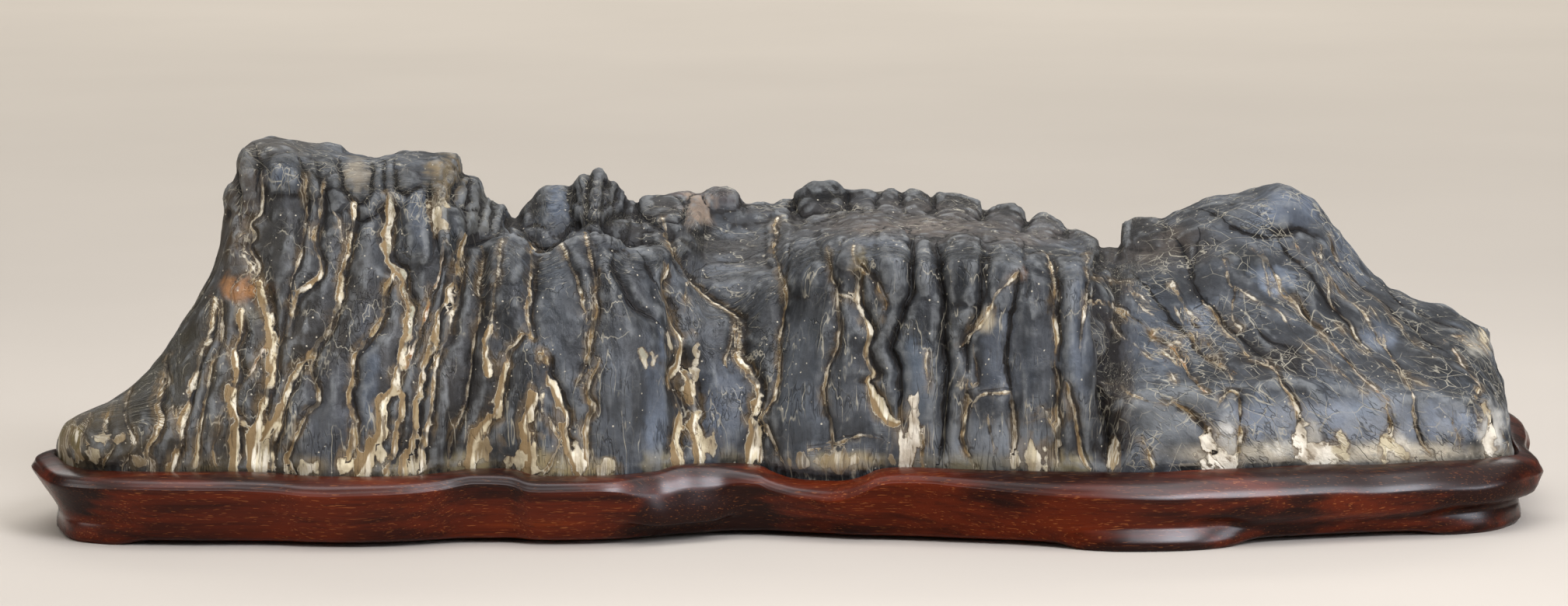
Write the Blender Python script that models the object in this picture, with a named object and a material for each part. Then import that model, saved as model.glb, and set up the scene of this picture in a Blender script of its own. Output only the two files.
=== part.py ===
"""A scholar's rock: a mountain-range stone resting in the recess of its carved hardwood stand.

The front of the stone is laid out on a drawing plane. A point (u, v) of that plane, in millimetres, is what an
eye sees from VIEW_DISTANCE away and VIEW_TILT above the horizon. With its depth y, it is one point in space.
"""

import math

import bmesh
import bpy
import numpy as np
from mathutils import noise

MM = 0.001

# The drawing plane, in millimetres and radians.
VIEW_DISTANCE = 1500.0
VIEW_TILT = math.radians(9.0)
VIEW_CENTRE = (-1.4, 69.3)  # x and z of the point looked at
FRAME_SHIFT = (-1.5, 7.7)  # moves the whole object so that its box is centred on the origin

# The stand.
FLOOR_GAP = 1.6  # the apron's height over the surface that the feet stand on
RECESS_FLOOR = 10.5
WALL_LEAN = 6.4  # how far the wall's foot stands in from the rim's outer edge
END_LEAN = 3.0  # and how much more at the two ends
STAND_SIDES = 108  # points around each ring

# The stone.
SEAT_GAP = 0.5  # between the stone and the floor of the recess
WALL_GAP = 1.5  # between the stone and the wall of the recess
STATION_STEP = 2.2  # the longest step between two sections
SECTION_CUTS = 5  # points between two rails of a section
VOXEL = 1.9
STONE_TRIANGLES = 6400

# The line where the stone meets the rim, along the front: (u, v, depth).
RIM_FRONT = [
    (-252.5, 18.5, -45), (-251, 16.4, -54), (-246, 13.2, -64), (-238, 12.0, -69), (-225, 11.5, -72),
    (-205, 11.4, -73), (-190, 11.5, -73), (-175, 11.0, -74), (-165, 10.0, -76), (-150, 9.8, -77),
    (-135, 9.9, -76), (-122, 10.8, -73), (-115, 11.8, -71), (-108, 12.5, -70), (-95, 12.4, -70),
    (-87, 10.2, -73), (-75, 10.0, -73), (-62, 10.2, -72), (-52, 11.0, -69), (-45, 11.8, -65),
    (-38, 13.8, -61), (-30, 14.3, -58), (-20, 14.5, -57), (-10, 13.7, -57), (-5, 11.4, -58),
    (2, 9.2, -60), (12, 8.4, -62), (20, 8.5, -64), (26, 10.0, -65), (32, 12.4, -65), (42, 13.0, -66),
    (60, 12.3, -69), (80, 11.7, -72), (100, 11.4, -74), (125, 11.2, -74), (140, 12.0, -72),
    (160, 12.8, -68), (185, 14.0, -62), (200, 13.8, -59), (220, 15.0, -55), (236, 15.6, -49),
    (246, 16.8, -43), (251, 17.8, -33),
]
# The same line round the right end, the back and the left end, with the rim's width: (x, y, z, width).
RIM_BACK = [
    (246.5, -20, 24.5, 6.5), (247.5, -6, 25, 8), (247, 9, 25, 9.5), (243.5, 25, 25, 10), (235, 38, 25, 10),
    (217, 49, 25, 10), (190, 57, 25, 10), (150, 60, 25, 10), (100, 61, 24, 10), (50, 60, 24, 10),
    (0, 58, 25, 10), (-50, 57, 26, 10), (-100, 54, 25, 10), (-140, 48, 24, 10), (-170, 38, 24, 9.5),
    (-193, 24, 25, 9), (-212, 9, 25, 8.5), (-227, -4, 25, 8), (-237, -16, 25, 7.5), (-243, -30, 25, 7),
]
# Along the front: the rim's width, and how far its top falls from the stone to its outer edge, by x.
RIM_WIDTH = [(-248, 7), (-238, 9), (-200, 10.5), (-150, 9.5), (-110, 9), (-60, 9), (-30, 10.5), (5, 9.5),
             (40, 10), (100, 11), (180, 11.5), (222, 11.5), (234, 13), (241, 11)]
RIM_DROP = [(-250, 1.6), (-200, 1.8), (-150, 2.6), (-105, 1.0), (-86, 1.5), (-45, 0.7), (-12, 2.2), (0, 1.2),
            (15, 2.6), (35, 1.0), (50, 0.9), (92, 4.0), (140, 4.8), (225, 4.4), (242, 2.8)]

# Feet: the stretch of the front or the back that each one takes, by x, and how far it swells out.
FRONT_FEET = [(-246, -224, 1.6), (100, 141, 7.0), (221, 246, 2.6)]
BACK_FEET = [(-225, -195, 2.5), (-30, 25, 4.0), (205, 246, 3.0)]
FOOT_FADE = 14.0
FOOT_DEPTH = 24.0  # from the rim's outer edge to a foot's inner edge
FOOT_HEEL = 6.0  # over which that inner edge rises to the underside

# The skyline, from the toe at the left to the drop at the right end: (u, v).
SKYLINE = [
    (-252.5, 20), (-251.5, 23), (-250, 26), (-248, 28.5), (-245, 30.5), (-240, 32.5), (-235, 34.5), (-229, 38),
    (-225, 41), (-218, 48), (-215, 52), (-210, 60), (-204, 70), (-199, 80), (-196, 88), (-195.3, 93), (-194, 99),
    (-194.3, 105), (-193, 108), (-191, 110), (-190, 115), (-188.8, 120), (-188, 123), (-186, 124), (-181, 126.3),
    (-178, 127), (-168, 125.5), (-162, 124.5), (-158, 124.8), (-154, 123.5), (-151.5, 121), (-143, 120),
    (-141.5, 119), (-139, 120.3), (-133, 121.7), (-128, 121.9), (-121, 121.5), (-117, 120), (-114, 118.5),
    (-113.5, 112.8), (-107.5, 111.5), (-106.5, 110), (-106, 106.3), (-103, 105.3), (-101.5, 103.3), (-99, 103),
    (-97.5, 101.5), (-95.5, 98), (-91, 101.5), (-88, 104.5), (-85, 108.6), (-82, 109.5), (-76, 109.7),
    (-73, 111.5), (-71, 113.3), (-68.5, 113.8), (-66, 115.3), (-64, 115.3), (-62.7, 111.5), (-59, 109.5),
    (-57, 108), (-56, 104.5), (-52.5, 102.8), (-49, 105.6), (-45, 105.6), (-37, 107.5), (-30, 107.5),
    (-28, 109), (-24, 109.5), (-17, 108.5), (-15.5, 104.7), (-5, 103.7), (2, 105), (5, 108.5), (9, 110.8),
    (15, 110.7), (19, 109), (28, 108.5), (30, 107.5), (38, 107.5), (39, 106.5), (42, 107.4), (49.5, 104.8),
    (51.5, 106.3), (55, 106.8), (61, 105.3), (66, 104.3), (69, 101.3), (74, 102.8), (77, 102.8), (80, 101.5),
    (82.5, 97.3), (86, 100), (88, 100), (95, 96.3), (103, 92.7), (106, 91.3), (107.2, 88.5), (115.3, 88.7),
    (115.8, 95.5), (120, 98), (126, 99), (129, 98.5), (134, 101), (142, 104), (149, 106), (156, 106.7),
    (165, 109.7), (169, 110.6), (174, 109), (177, 106), (182, 104), (185, 100), (189, 95.5), (194, 89),
    (199, 82), (202, 78.8), (207, 74.5), (215, 71), (225, 69), (231, 65.3), (237, 62), (240, 60), (242, 57),
    (242.3, 53), (243.5, 47), (246, 42.5), (247, 39), (248.2, 31.5), (249.4, 24), (250.5, 18.6),
]

# How the front rises at chosen stations: u, five (v, depth) between rim and skyline, the skyline's depth.
FRONT_PROFILES = [
    (-252.4, [(18.8, -48), (19.2, -48), (19.5, -48), (19.8, -48), (20, -48)], -48),
    (-250, [(18, -57), (20, -59), (22.5, -59), (25, -57), (27, -54)], -51),
    (-245, [(18, -67), (22, -67), (26, -65), (29.5, -62), (32, -57)], -51),
    (-238, [(18, -72), (23, -71), (28, -67), (33, -62), (36, -57)], -50),
    (-225, [(19, -74), (27, -71), (34, -66), (39, -60), (42.5, -54)], -46),
    (-212, [(22, -74), (33, -69), (43, -62), (51, -54), (56, -46)], -40),
    (-203, [(25, -74), (40, -68), (55, -60), (65, -51), (70, -43)], -37),
    (-196, [(28, -73), (46, -66), (64, -57), (78, -47), (86, -38)], -31),
    (-190, [(30, -73), (50, -65), (72, -54), (95, -43), (109, -34)], -24),
    (-187, [(30, -72), (52, -64), (76, -52), (100, -41), (118, -34)], -15),
    (-175, [(30, -73), (52, -65), (76, -54), (102, -41), (120.5, -33)], -4),
    (-160, [(30, -74), (50, -67), (72, -57), (97, -44), (115, -34)], -3),
    (-148, [(30, -75), (50, -68), (72, -58), (95, -46), (113, -34)], -4),
    (-135, [(30, -74), (50, -67), (72, -57), (95, -46), (116, -33)], -8),
    (-120, [(30, -72), (50, -65), (72, -56), (95, -45), (115, -33)], -12),
    (-114.5, [(28, -70), (48, -64), (68, -56), (88, -46), (108, -33)], -18),
    (-106, [(28, -70), (48, -65), (68, -57), (86, -45), (97, -32)], -20),
    (-97, [(28, -71), (48, -66), (70, -58), (91, -44), (94, -34)], -16),
    (-93, [(28, -71), (48, -67), (72, -58), (92, -43), (88, -28)], 0),
    (-85, [(28, -72), (48, -68), (70, -59), (87, -45), (82, -26)], 5),
    (-66, [(28, -71), (48, -67), (72, -58), (94, -42), (88, -24)], 4),
    (-56, [(28, -69), (48, -66), (70, -56), (88, -42), (85, -22)], 8),
    (-45, [(28, -64), (46, -61), (66, -53), (86, -39), (91, -14)], 15),
    (-38, [(28, -60), (44, -55), (62, -46), (80, -33), (93, -10)], 20),
    (-28, [(28, -57), (44, -51), (58, -43), (72, -31), (92, -8)], 24),
    (-15, [(28, -57), (42, -51), (58, -42), (74, -29), (90, -7)], 25),
    (-4, [(28, -58), (44, -52), (62, -42), (80, -28), (93, -5)], 25),
    (5, [(28, -60), (46, -56), (66, -48), (84, -36), (97, -8)], 27),
    (15, [(28, -63), (48, -60), (70, -54), (89, -43), (99, -12)], 28),
    (30, [(28, -65), (48, -63), (70, -58), (92, -46), (100, -12)], 30),
    (45, [(30, -67), (50, -64), (72, -59), (90, -47), (98, -10)], 30),
    (60, [(30, -69), (50, -66), (72, -61), (91, -48), (99, -10)], 30),
    (75, [(30, -71), (50, -68), (72, -63), (90, -49), (96, -12)], 28),
    (88, [(30, -73), (50, -70), (70, -65), (85, -52), (93, -15)], 26),
    (98, [(30, -74), (50, -71), (70, -66), (84, -53), (90, -18)], 22),
    (106, [(30, -74), (48, -71), (68, -66), (83, -53), (88, -22)], 15),
    (109, [(30, -74), (46, -69), (64, -60), (78, -45), (84, -22)], 8),
    (113, [(32, -74), (42, -68), (58, -50), (74, -32), (83, -14)], 6),
    (120, [(34, -74), (42, -67), (58, -49), (75, -31), (86, -10)], 16),
    (130, [(35, -73), (43, -66), (60, -47), (77, -29), (90, -10)], 9),
    (145, [(36, -71), (44, -65), (62, -46), (82, -26), (96, -9)], 6),
    (160, [(37, -69), (45, -63), (64, -44), (84, -25), (100, -8)], 5),
    (170, [(38, -66), (46, -61), (64, -43), (86, -23), (103, -6)], 5),
    (180, [(38, -64), (46, -58), (64, -41), (84, -22), (98, -6)], 6),
    (188, [(37, -62), (45, -56), (62, -39), (80, -21), (91, -6)], 7),
    (198, [(36, -60), (43, -54), (58, -38), (71, -20), (78, -5)], 8),
    (210, [(34, -58), (41, -52), (54, -36), (65, -18), (71, -3)], 10),
    (225, [(34, -55), (40, -49), (51, -33), (61, -14), (66, 0)], 12),
    (237, [(34, -50), (39, -44), (48, -29), (56, -10), (60, 2)], 13),
    (242, [(33, -46), (38, -40), (44, -26), (50, -8), (54, 3)], 14),
    (247, [(28, -40), (31, -34), (34, -22), (36, -6), (38, 4)], 13),
    (250.4, [(18.2, -30), (18.4, -24), (18.5, -16), (18.5, -8), (18.5, -2)], 4),
]

# Furrows between the ribs of the front: depth, width and the (u, v) points of the line each one follows.
FURROWS = [
    (3.0, 2.2, [(-188, 66), (-190.5, 54), (-192.5, 40), (-189, 28), (-190.5, 12)]),
    (3.2, 2.4, [(-182, 82), (-178, 49), (-182, 32), (-184, 12)]),
    (2.4, 2.0, [(-197.5, 71), (-205, 48), (-208.5, 32), (-212.5, 12)]),
    (2.0, 1.8, [(-195.5, 71), (-198.5, 50), (-203, 28), (-205, 13)]),
    (2.6, 2.4, [(-214, 50), (-217, 30), (-220.5, 12)]),
    (3.4, 2.4, [(-150, 104), (-153, 84), (-158, 65), (-167, 51), (-175, 33), (-178, 12)]),
    (2.2, 2.0, [(-166.5, 112), (-169, 85), (-173, 66), (-178, 50)]),
    (2.4, 2.0, [(-160, 112), (-163, 92), (-168, 74), (-173.5, 56)]),
    (2.6, 2.2, [(-163, 57), (-163, 38), (-170, 24), (-170, 11)]),
    (3.6, 2.8, [(-138, 106), (-138, 87), (-132.5, 75), (-131, 58), (-138, 38), (-141, 23), (-147, 12)]),
    (3.0, 2.4, [(-136, 80), (-139, 68), (-149, 52), (-151.5, 36), (-150, 22), (-153, 12)]),
    (3.8, 2.4, [(-110, 93), (-116, 76), (-121, 63), (-127, 38), (-129, 22), (-133, 11)]),
    (2.6, 2.0, [(-111, 87), (-115, 68), (-122, 35), (-128, 11)]),
    (2.4, 2.2, [(-119.5, 88), (-123.5, 70), (-129, 53), (-134, 36), (-138, 11)]),
    (3.0, 2.6, [(-105, 88), (-106.5, 72), (-109, 57), (-111, 40), (-117, 13)]),
    (2.6, 2.4, [(-97, 88), (-101, 72), (-104, 56), (-99, 40), (-104, 29), (-109.5, 13)]),
    (3.2, 2.4, [(-88, 90), (-90, 70), (-88.5, 58), (-95, 50), (-90, 26), (-89, 12)]),
    (3.4, 2.6, [(-76, 90), (-71.5, 70), (-69, 55), (-71, 45), (-69, 33), (-70, 14)]),
    (2.0, 1.8, [(-69, 94), (-66, 78), (-67, 60), (-66, 50)]),
    (2.4, 2.2, [(-84, 52), (-80, 39), (-77.5, 26), (-73, 13)]),
    (2.0, 2.0, [(-60, 87), (-54, 69), (-45, 62)]),
    (4.2, 2.4, [(-43, 97), (-38, 87), (-31, 76), (-22, 69), (-16.5, 63), (-16, 58)]),
    (4.4, 2.8, [(-41, 82), (-40, 68), (-37, 56), (-35, 46), (-36, 30), (-37.5, 14)]),
    (2.6, 2.2, [(-34, 46), (-31, 22), (-29, 15)]),
    (3.4, 2.2, [(-18, 62), (-19, 48), (-11, 41), (-11, 24), (-12, 14)]),
    (2.2, 2.0, [(-4, 98), (-4.5, 80), (-3, 58), (-5, 40), (-7, 26), (-1, 13)]),
    (2.6, 2.4, [(13, 88), (15, 72), (14, 55), (12, 36), (16, 20)]),
    (3.6, 2.4, [(23, 88), (24, 70), (28, 60), (27, 50), (30, 35), (37, 27), (40, 13)]),
    (3.4, 2.0, [(43.5, 92), (41, 70), (36.5, 54), (38, 44), (38, 30)]),
    (4.6, 2.2, [(51, 92), (53, 70), (53.5, 50), (54, 32), (52, 14)]),
    (3.0, 2.2, [(66.5, 90), (66, 72), (61, 56), (62, 40), (60, 22), (63, 13)]),
    (2.6, 2.2, [(80, 80), (75, 60), (76, 38), (77, 21)]),
    (3.4, 2.2, [(89, 86), (90.5, 70), (91.5, 50), (92, 34), (93, 13)]),
    (2.4, 2.2, [(103, 86), (103, 70), (101, 50), (99, 27), (103, 12)]),
    (5.4, 3.4, [(107.5, 88), (108, 70), (110, 56), (110.5, 38), (110, 12)]),
    (2.6, 2.6, [(118, 76), (124, 64), (133, 54), (139, 45), (145, 36), (147, 14)]),
    (2.0, 2.2, [(140, 90), (138, 78), (144, 60), (151, 48), (155, 36), (155, 15)]),
    (2.0, 2.2, [(150, 83), (153, 70), (160, 52), (171, 40), (177, 26), (178, 15)]),
    (2.0, 2.4, [(163, 86), (170, 74), (180, 60), (194, 49), (204, 38), (208, 17)]),
    (2.0, 2.4, [(178, 88), (190, 70), (204, 56), (215, 37), (220, 16)]),
    (2.2, 2.4, [(232, 56), (237, 44), (238, 30), (242, 18)]),
    (3.0, 2.2, [(-181, 112), (-185, 97), (-185, 86), (-182, 76)]),
    (2.6, 1.8, [(-76, 109), (-76, 95)]),
    (2.6, 1.6, [(-69.5, 113), (-70, 98)]),
    (2.6, 1.8, [(-62.5, 112), (-63, 97)]),
]
FURROW_TOP_FADE = 6.0  # mm over which a furrow dies out before it meets the rim

# Pillow lumps: (u, v), half width, half height, how far each stands out.
LUMPS = [
    (-88, 93, 5, 4.2, 3.0), (-117, 95, 6.5, 11, 3.0), (-52, 94, 7, 6, 2.5), (-67, 86, 9, 12, 2.6),
    (-98, 80, 8, 16, 2.4), (-57, 60, 12, 24, 2.8), (-170, 95, 7, 20, 2.4), (-157, 106, 6, 5, 2.4),
    (-147, 108, 5, 4.5, 2.2), (-145, 92, 6, 10, 2.0), (-126, 96, 6, 14, 2.2), (-172, 22, 7, 13, 2.2),
    (-28, 62, 8, 9, 2.4), (-30, 101, 5, 6, 2.0), (2, 40, 11, 26, 3.0), (-12, 76, 12, 5, 2.0), (37, 84, 6, 11, 2.6),
    (47.5, 76, 4, 14, 2.2), (60, 84, 7, 10, 2.6), (74, 80, 7, 12, 2.6), (85, 70, 5, 18, 2.4), (98, 76, 5, 12, 2.2),
    (44, 42, 7, 12, 2.6), (84, 46, 7, 14, 1.8), (100, 46, 6, 14, 1.8), (122, 90, 6, 6, 2.2), (158, 88, 16, 10, 2.4),
    (150, 28, 12, 9, 1.6), (192, 30, 14, 9, 1.6), (228, 50, 12, 8, 1.6), (12, 15, 14, 5, 1.6),
]

# The back's ribs, and the knobs of the top, are laid out by rule.
BACK_RIB_SPACING = (9.0, 19.0)
BACK_FURROW_DEPTH = (2.2, 5.0)
BACK_FURROW_WIDTH = 2.4
TOP_KNOB_SIZE = 13.0
TOP_KNOB_HEIGHT = 1.5
BUTTRESSES = [(19.0, 0.09, 0.0), (8.3, 0.06, 1.7)]  # waves in the back's fullness: length, size and phase
SEED = 11


def clearScene():
    for old in list(bpy.data.objects):
        bpy.data.objects.remove(old, do_unlink=True)


def fromDrawing(u, v, y):
    """The point in space that is seen at (u, v) on the drawing plane and lies at depth y."""
    cosTilt = math.cos(VIEW_TILT)
    sinTilt = math.sin(VIEW_TILT)
    slope = (v - VIEW_CENTRE[1]) / VIEW_DISTANCE
    rise = (slope * (VIEW_DISTANCE + y * cosTilt) - y * sinTilt) / (cosTilt + slope * sinTilt)
    away = VIEW_DISTANCE + y * cosTilt - rise * sinTilt
    x = VIEW_CENTRE[0] + (u - VIEW_CENTRE[0]) * away / VIEW_DISTANCE
    return np.stack(np.broadcast_arrays(x, y, rise + VIEW_CENTRE[1]), axis=-1)


def toDrawing(points):
    """The (u, v) of points in space."""
    cosTilt = math.cos(VIEW_TILT)
    sinTilt = math.sin(VIEW_TILT)
    rise = points[:, 2] - VIEW_CENTRE[1]
    away = VIEW_DISTANCE + points[:, 1] * cosTilt - rise * sinTilt
    u = VIEW_CENTRE[0] + (points[:, 0] - VIEW_CENTRE[0]) * VIEW_DISTANCE / away
    v = VIEW_CENTRE[1] + (points[:, 1] * sinTilt + rise * cosTilt) * VIEW_DISTANCE / away
    return np.stack([u, v], axis=1)


def smoothStep(value, low, high):
    t = np.clip((value - low) / (high - low), 0.0, 1.0)
    return t * t * (3.0 - 2.0 * t)


def easedCurve(keys, values, at):
    """A smooth curve through hand-set values that never overshoots them."""
    keys = np.asarray(keys, float)
    values = np.asarray(values, float)
    steps = np.diff(keys)
    rises = np.diff(values) / steps
    slopes = np.zeros(len(keys))
    inner = rises[:-1] * rises[1:] > 0
    slopes[1:-1][inner] = 2.0 * (rises[:-1] * rises[1:])[inner] / (rises[:-1] + rises[1:])[inner]
    cell = np.clip(np.searchsorted(keys, at) - 1, 0, len(steps) - 1)
    t = np.clip((at - keys[cell]) / steps[cell], 0.0, 1.0)
    start = values[cell] * (1 + 2 * t) * (1 - t) ** 2 + slopes[cell] * steps[cell] * t * (1 - t) ** 2
    end = values[cell + 1] * t * t * (3 - 2 * t) - slopes[cell + 1] * steps[cell] * t * t * (1 - t)
    return start + end


def splineThrough(points, cuts, closed=False):
    """A Catmull-Rom curve through points, with cuts steps between two of them."""
    points = np.asarray(points, float)
    if closed:
        padded = np.concatenate([points[-1:], points, points[:2]])
    else:
        padded = np.concatenate([2 * points[:1] - points[1:2], points, 2 * points[-1:] - points[-2:-1]])
    curve = []
    for a, b, c, d in zip(padded[:-3], padded[1:-2], padded[2:-1], padded[3:]):
        for t in np.arange(cuts) / cuts:
            curve.append(0.5 * (2 * b + (c - a) * t + (2 * a - 5 * b + 4 * c - d) * t**2
                                + (3 * b - a - 3 * c + d) * t**3))
    if not closed:
        curve.append(points[-1])
    return np.array(curve)


def evenlySpaced(loop, count):
    """count points, evenly spaced along a closed loop of points."""
    ring = np.concatenate([loop, loop[:1]])
    lengths = np.concatenate([[0], np.cumsum(np.linalg.norm(np.diff(ring[:, :2], axis=0), axis=1))])
    at = np.arange(count) / count * lengths[-1]
    return np.stack([np.interp(at, lengths, ring[:, k]) for k in range(ring.shape[1])], axis=1)


def rimLine(count):
    """The closed line where the stone meets the rim: x, y, z and the rim's width, counter-clockwise from above."""
    front = [fromDrawing(u, v, y) for u, v, y in RIM_FRONT]
    widths = np.interp([p[0] for p in front], *zip(*RIM_WIDTH))
    points = [(*p, w) for p, w in zip(front, widths)] + RIM_BACK
    return evenlySpaced(splineThrough(points, 6, closed=True), count)


def outwardNormals(loop):
    """Unit normals of a closed plan loop, smoothed so that offsets of it stay even."""
    along = np.roll(loop[:, :2], -1, axis=0) - np.roll(loop[:, :2], 1, axis=0)
    normals = np.stack([along[:, 1], -along[:, 0]], axis=1)
    for _ in range(max(2, len(loop) // 60)):
        normals = (np.roll(normals, 1, axis=0) + 2 * normals + np.roll(normals, -1, axis=0)) / 4
    return normals / np.linalg.norm(normals, axis=1, keepdims=True)


def meshFromRings(name, rings):
    """A closed mesh from rings of points in millimetres, with its first and last ring filled."""
    shift = np.array([*FRAME_SHIFT, 0.0])
    mesh = bmesh.new()
    loops = []
    for ring in rings:
        loops.append([mesh.verts.new((point + shift) * MM) for point in ring])
    for lower, upper in zip(loops[:-1], loops[1:]):
        for i in range(len(lower)):
            after = (i + 1) % len(lower)
            mesh.faces.new((lower[i], lower[after], upper[after], upper[i]))
    mesh.faces.new(list(reversed(loops[0])))
    mesh.faces.new(loops[-1])
    bmesh.ops.recalc_face_normals(mesh, faces=mesh.faces)
    data = bpy.data.meshes.new(name)
    mesh.to_mesh(data)
    mesh.free()
    made = bpy.data.objects.new(name, data)
    bpy.context.scene.collection.objects.link(made)
    return made


def footShares(line, normals):
    """For each point of the rim line: 1 on a foot and 0 on the apron between feet, and the foot's swelling."""
    share = np.zeros(len(line))
    swell = np.zeros(len(line))
    for feet, onSide in ((FRONT_FEET, normals[:, 1] < 0), (BACK_FEET, normals[:, 1] >= 0)):
        for low, high, out in feet:
            rising = smoothStep(line[:, 0], low - FOOT_FADE, low)
            near = rising * (1 - smoothStep(line[:, 0], high, high + FOOT_FADE)) * onSide
            share = np.maximum(share, near)
            swell = np.maximum(swell, near * out)
    return share, swell


def makeStand():
    """The stand: rings from the recess floor over the rim and down the wall to the feet and the underside."""
    line = rimLine(STAND_SIDES)
    normals = outwardNormals(line)
    rim = line[:, 2]
    width = line[:, 3]
    drop = np.interp(line[:, 0], *zip(*RIM_DROP))
    foot, swell = footShares(line, normals)
    apron = 1 - foot
    wallFoot = width - WALL_LEAN - END_LEAN * np.abs(normals[:, 0])
    level = np.ones(len(line))
    profile = [  # how far each ring stands out from the rim line, and its height
        (0 * level, RECESS_FLOOR * level),
        (0 * level, rim - 1.0),
        (1.2 * level, rim - 0.1),
        (0.45 * width, rim - 0.3 * drop),
        (0.8 * width, rim - 0.75 * drop - 0.4),
        (width - 0.5, rim - drop - 1.6),
        (width, rim - drop - 3.6),
        (0.62 * width + 0.38 * wallFoot, 0.55 * rim - 0.4 * drop),
        (wallFoot + 1.3 * apron + 0.4 * foot + 0.08 * swell, 6.8 * level),
        (wallFoot + 0.5 * apron + 0.42 * swell, 5.0 * level),
        (wallFoot - 0.3 * apron + 0.84 * swell, 3.2 * level),
        (wallFoot - 1.1 * apron - 0.2 * foot + swell, 1.6 + 0.6 * apron),
        (wallFoot - 2.4 * apron - 1.4 * foot + swell, FLOOR_GAP * apron),
        (width - FOOT_DEPTH, FLOOR_GAP * apron),
        (width - FOOT_DEPTH - FOOT_HEEL, FLOOR_GAP * level),
    ]
    rings = []
    for out, height in profile:
        plan = line[:, :2] + normals * np.asarray(out)[:, None]
        rings.append(np.column_stack([plan, height]))
    return meshFromRings("stand", rings)


def frontAndBack(line, x):
    """The rim line's y along the front and along the back at each x."""
    left = int(np.argmin(line[:, 0]))
    turned = np.roll(line, -left, axis=0)
    right = int(np.argmax(turned[:, 0]))
    front = turned[: right + 1]
    back = np.concatenate([turned[right:], turned[:1]])[::-1]
    return np.interp(x, front[:, 0], front[:, 1]), np.interp(x, back[:, 0], back[:, 1])


def stationList():
    """Stations along u, closer together where the skyline or the rim turns steeply."""
    fine = np.arange(SKYLINE[0][0] + 0.1, SKYLINE[-1][0], 0.1)
    keys, rows, crests = zip(*FRONT_PROFILES)
    rails = [np.interp(fine, *zip(*SKYLINE)), easedCurve(keys, crests, fine), fine]
    rails += [easedCurve(keys, [row[3][k] for row in rows], fine) for k in (0, 1)]
    travel = sum(np.abs(np.diff(rail)) for rail in rails) / 1.6
    length = np.concatenate([[0], np.cumsum(travel)])
    return np.interp(np.arange(0, length[-1], STATION_STEP), length, fine)


def stoneSections(line):
    """The stone's closed sections, from its toe to its right end."""
    stations = stationList()
    keys, rows, crests = zip(*FRONT_PROFILES)
    skyHeight = np.interp(stations, *zip(*SKYLINE))
    crest = fromDrawing(stations, skyHeight, easedCurve(keys, crests, stations))
    rails = []
    for k in range(5):
        v = easedCurve(keys, [row[k][0] for row in rows], stations)
        y = easedCurve(keys, [row[k][1] for row in rows], stations)
        rails.append(fromDrawing(stations, np.minimum(v, skyHeight), y))
    rimU, rimV, rimY = (np.array(column, float) for column in zip(*RIM_FRONT))
    rimRail = fromDrawing(stations, np.interp(stations, rimU, rimV), np.interp(stations, rimU, rimY))
    rimRail[:, 1] = np.maximum(rimRail[:, 1], frontAndBack(line, rimRail[:, 0])[0])
    backX = crest[:, 0]
    backY = np.maximum(frontAndBack(line, backX)[1], crest[:, 1] + 3.0)
    rise = crest[:, 2] - 25.0

    buttress = sum(size * np.sin(backX / length + phase) for length, size, phase in BUTTRESSES)

    def backRail(share, height):
        swell = 4.0 * share * (1 - share) * buttress
        y = crest[:, 1] + (backY - crest[:, 1]) * (share + swell)
        return np.column_stack([backX, y, 25.0 + rise * (height + 0.6 * swell)])

    bottom = RECESS_FLOOR + SEAT_GAP
    frontFoot = rimRail + (0, 1.0, 0)
    frontFoot[:, 2] = bottom
    backFoot = backRail(0.97, 0)
    backFoot[:, 2] = bottom
    loops = [frontFoot, rimRail, *rails, crest, backRail(0.28, 0.94), backRail(0.6, 0.74), backRail(0.85, 0.42),
             backRail(0.97, 0.16), backRail(1.0, 0.0), backFoot]
    sections = []
    for points in np.stack(loops, axis=1):
        sections.append(splineThrough(points, SECTION_CUTS))
    return sections


def remeshed(source, name):
    """A new mesh: source made of even voxels."""
    modifier = source.modifiers.new("even voxels", "REMESH")
    modifier.mode = "VOXEL"
    modifier.voxel_size = VOXEL * MM
    graph = bpy.context.evaluated_depsgraph_get()
    data = bpy.data.meshes.new_from_object(source.evaluated_get(graph))
    bpy.data.objects.remove(source, do_unlink=True)
    made = bpy.data.objects.new(name, data)
    bpy.context.scene.collection.objects.link(made)
    return made


def lineDistance(points, path):
    """For 2-D points and a line: the distance to it, how far along it that is, and the line's length."""
    path = np.asarray(path, float)
    best = np.full(len(points), 1e9)
    along = np.zeros(len(points))
    lengths = np.concatenate([[0], np.cumsum(np.linalg.norm(np.diff(path, axis=0), axis=1))])
    for k in range(len(path) - 1):
        leg = path[k + 1] - path[k]
        t = np.clip(((points - path[k]) @ leg) / (leg @ leg), 0, 1)
        distance = np.linalg.norm(points - path[k] - t[:, None] * leg, axis=1)
        nearer = distance < best
        best[nearer] = distance[nearer]
        along[nearer] = (lengths[k] + t * np.linalg.norm(leg))[nearer]
    return best, along, lengths[-1]


def frontRelief(seen):
    """How far the front moves out at drawing points: lumps out, furrows in."""
    relief = np.zeros(len(seen))
    for u, v, halfWidth, halfHeight, height in LUMPS:
        reach = ((seen[:, 0] - u) / halfWidth) ** 2 + ((seen[:, 1] - v) / halfHeight) ** 2
        relief += height * np.clip(1 - reach / 2.2, 0, 1) ** 1.5
    groove = np.zeros(len(seen))
    for depth, width, path in FURROWS:
        distance, along, length = lineDistance(seen, path)
        taper = smoothStep(along, -2, 7) * (0.35 + 0.65 * smoothStep(length - along, -2, 10))
        groove = np.maximum(groove, depth * taper * np.exp(-distance / width))
    return relief - groove


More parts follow.
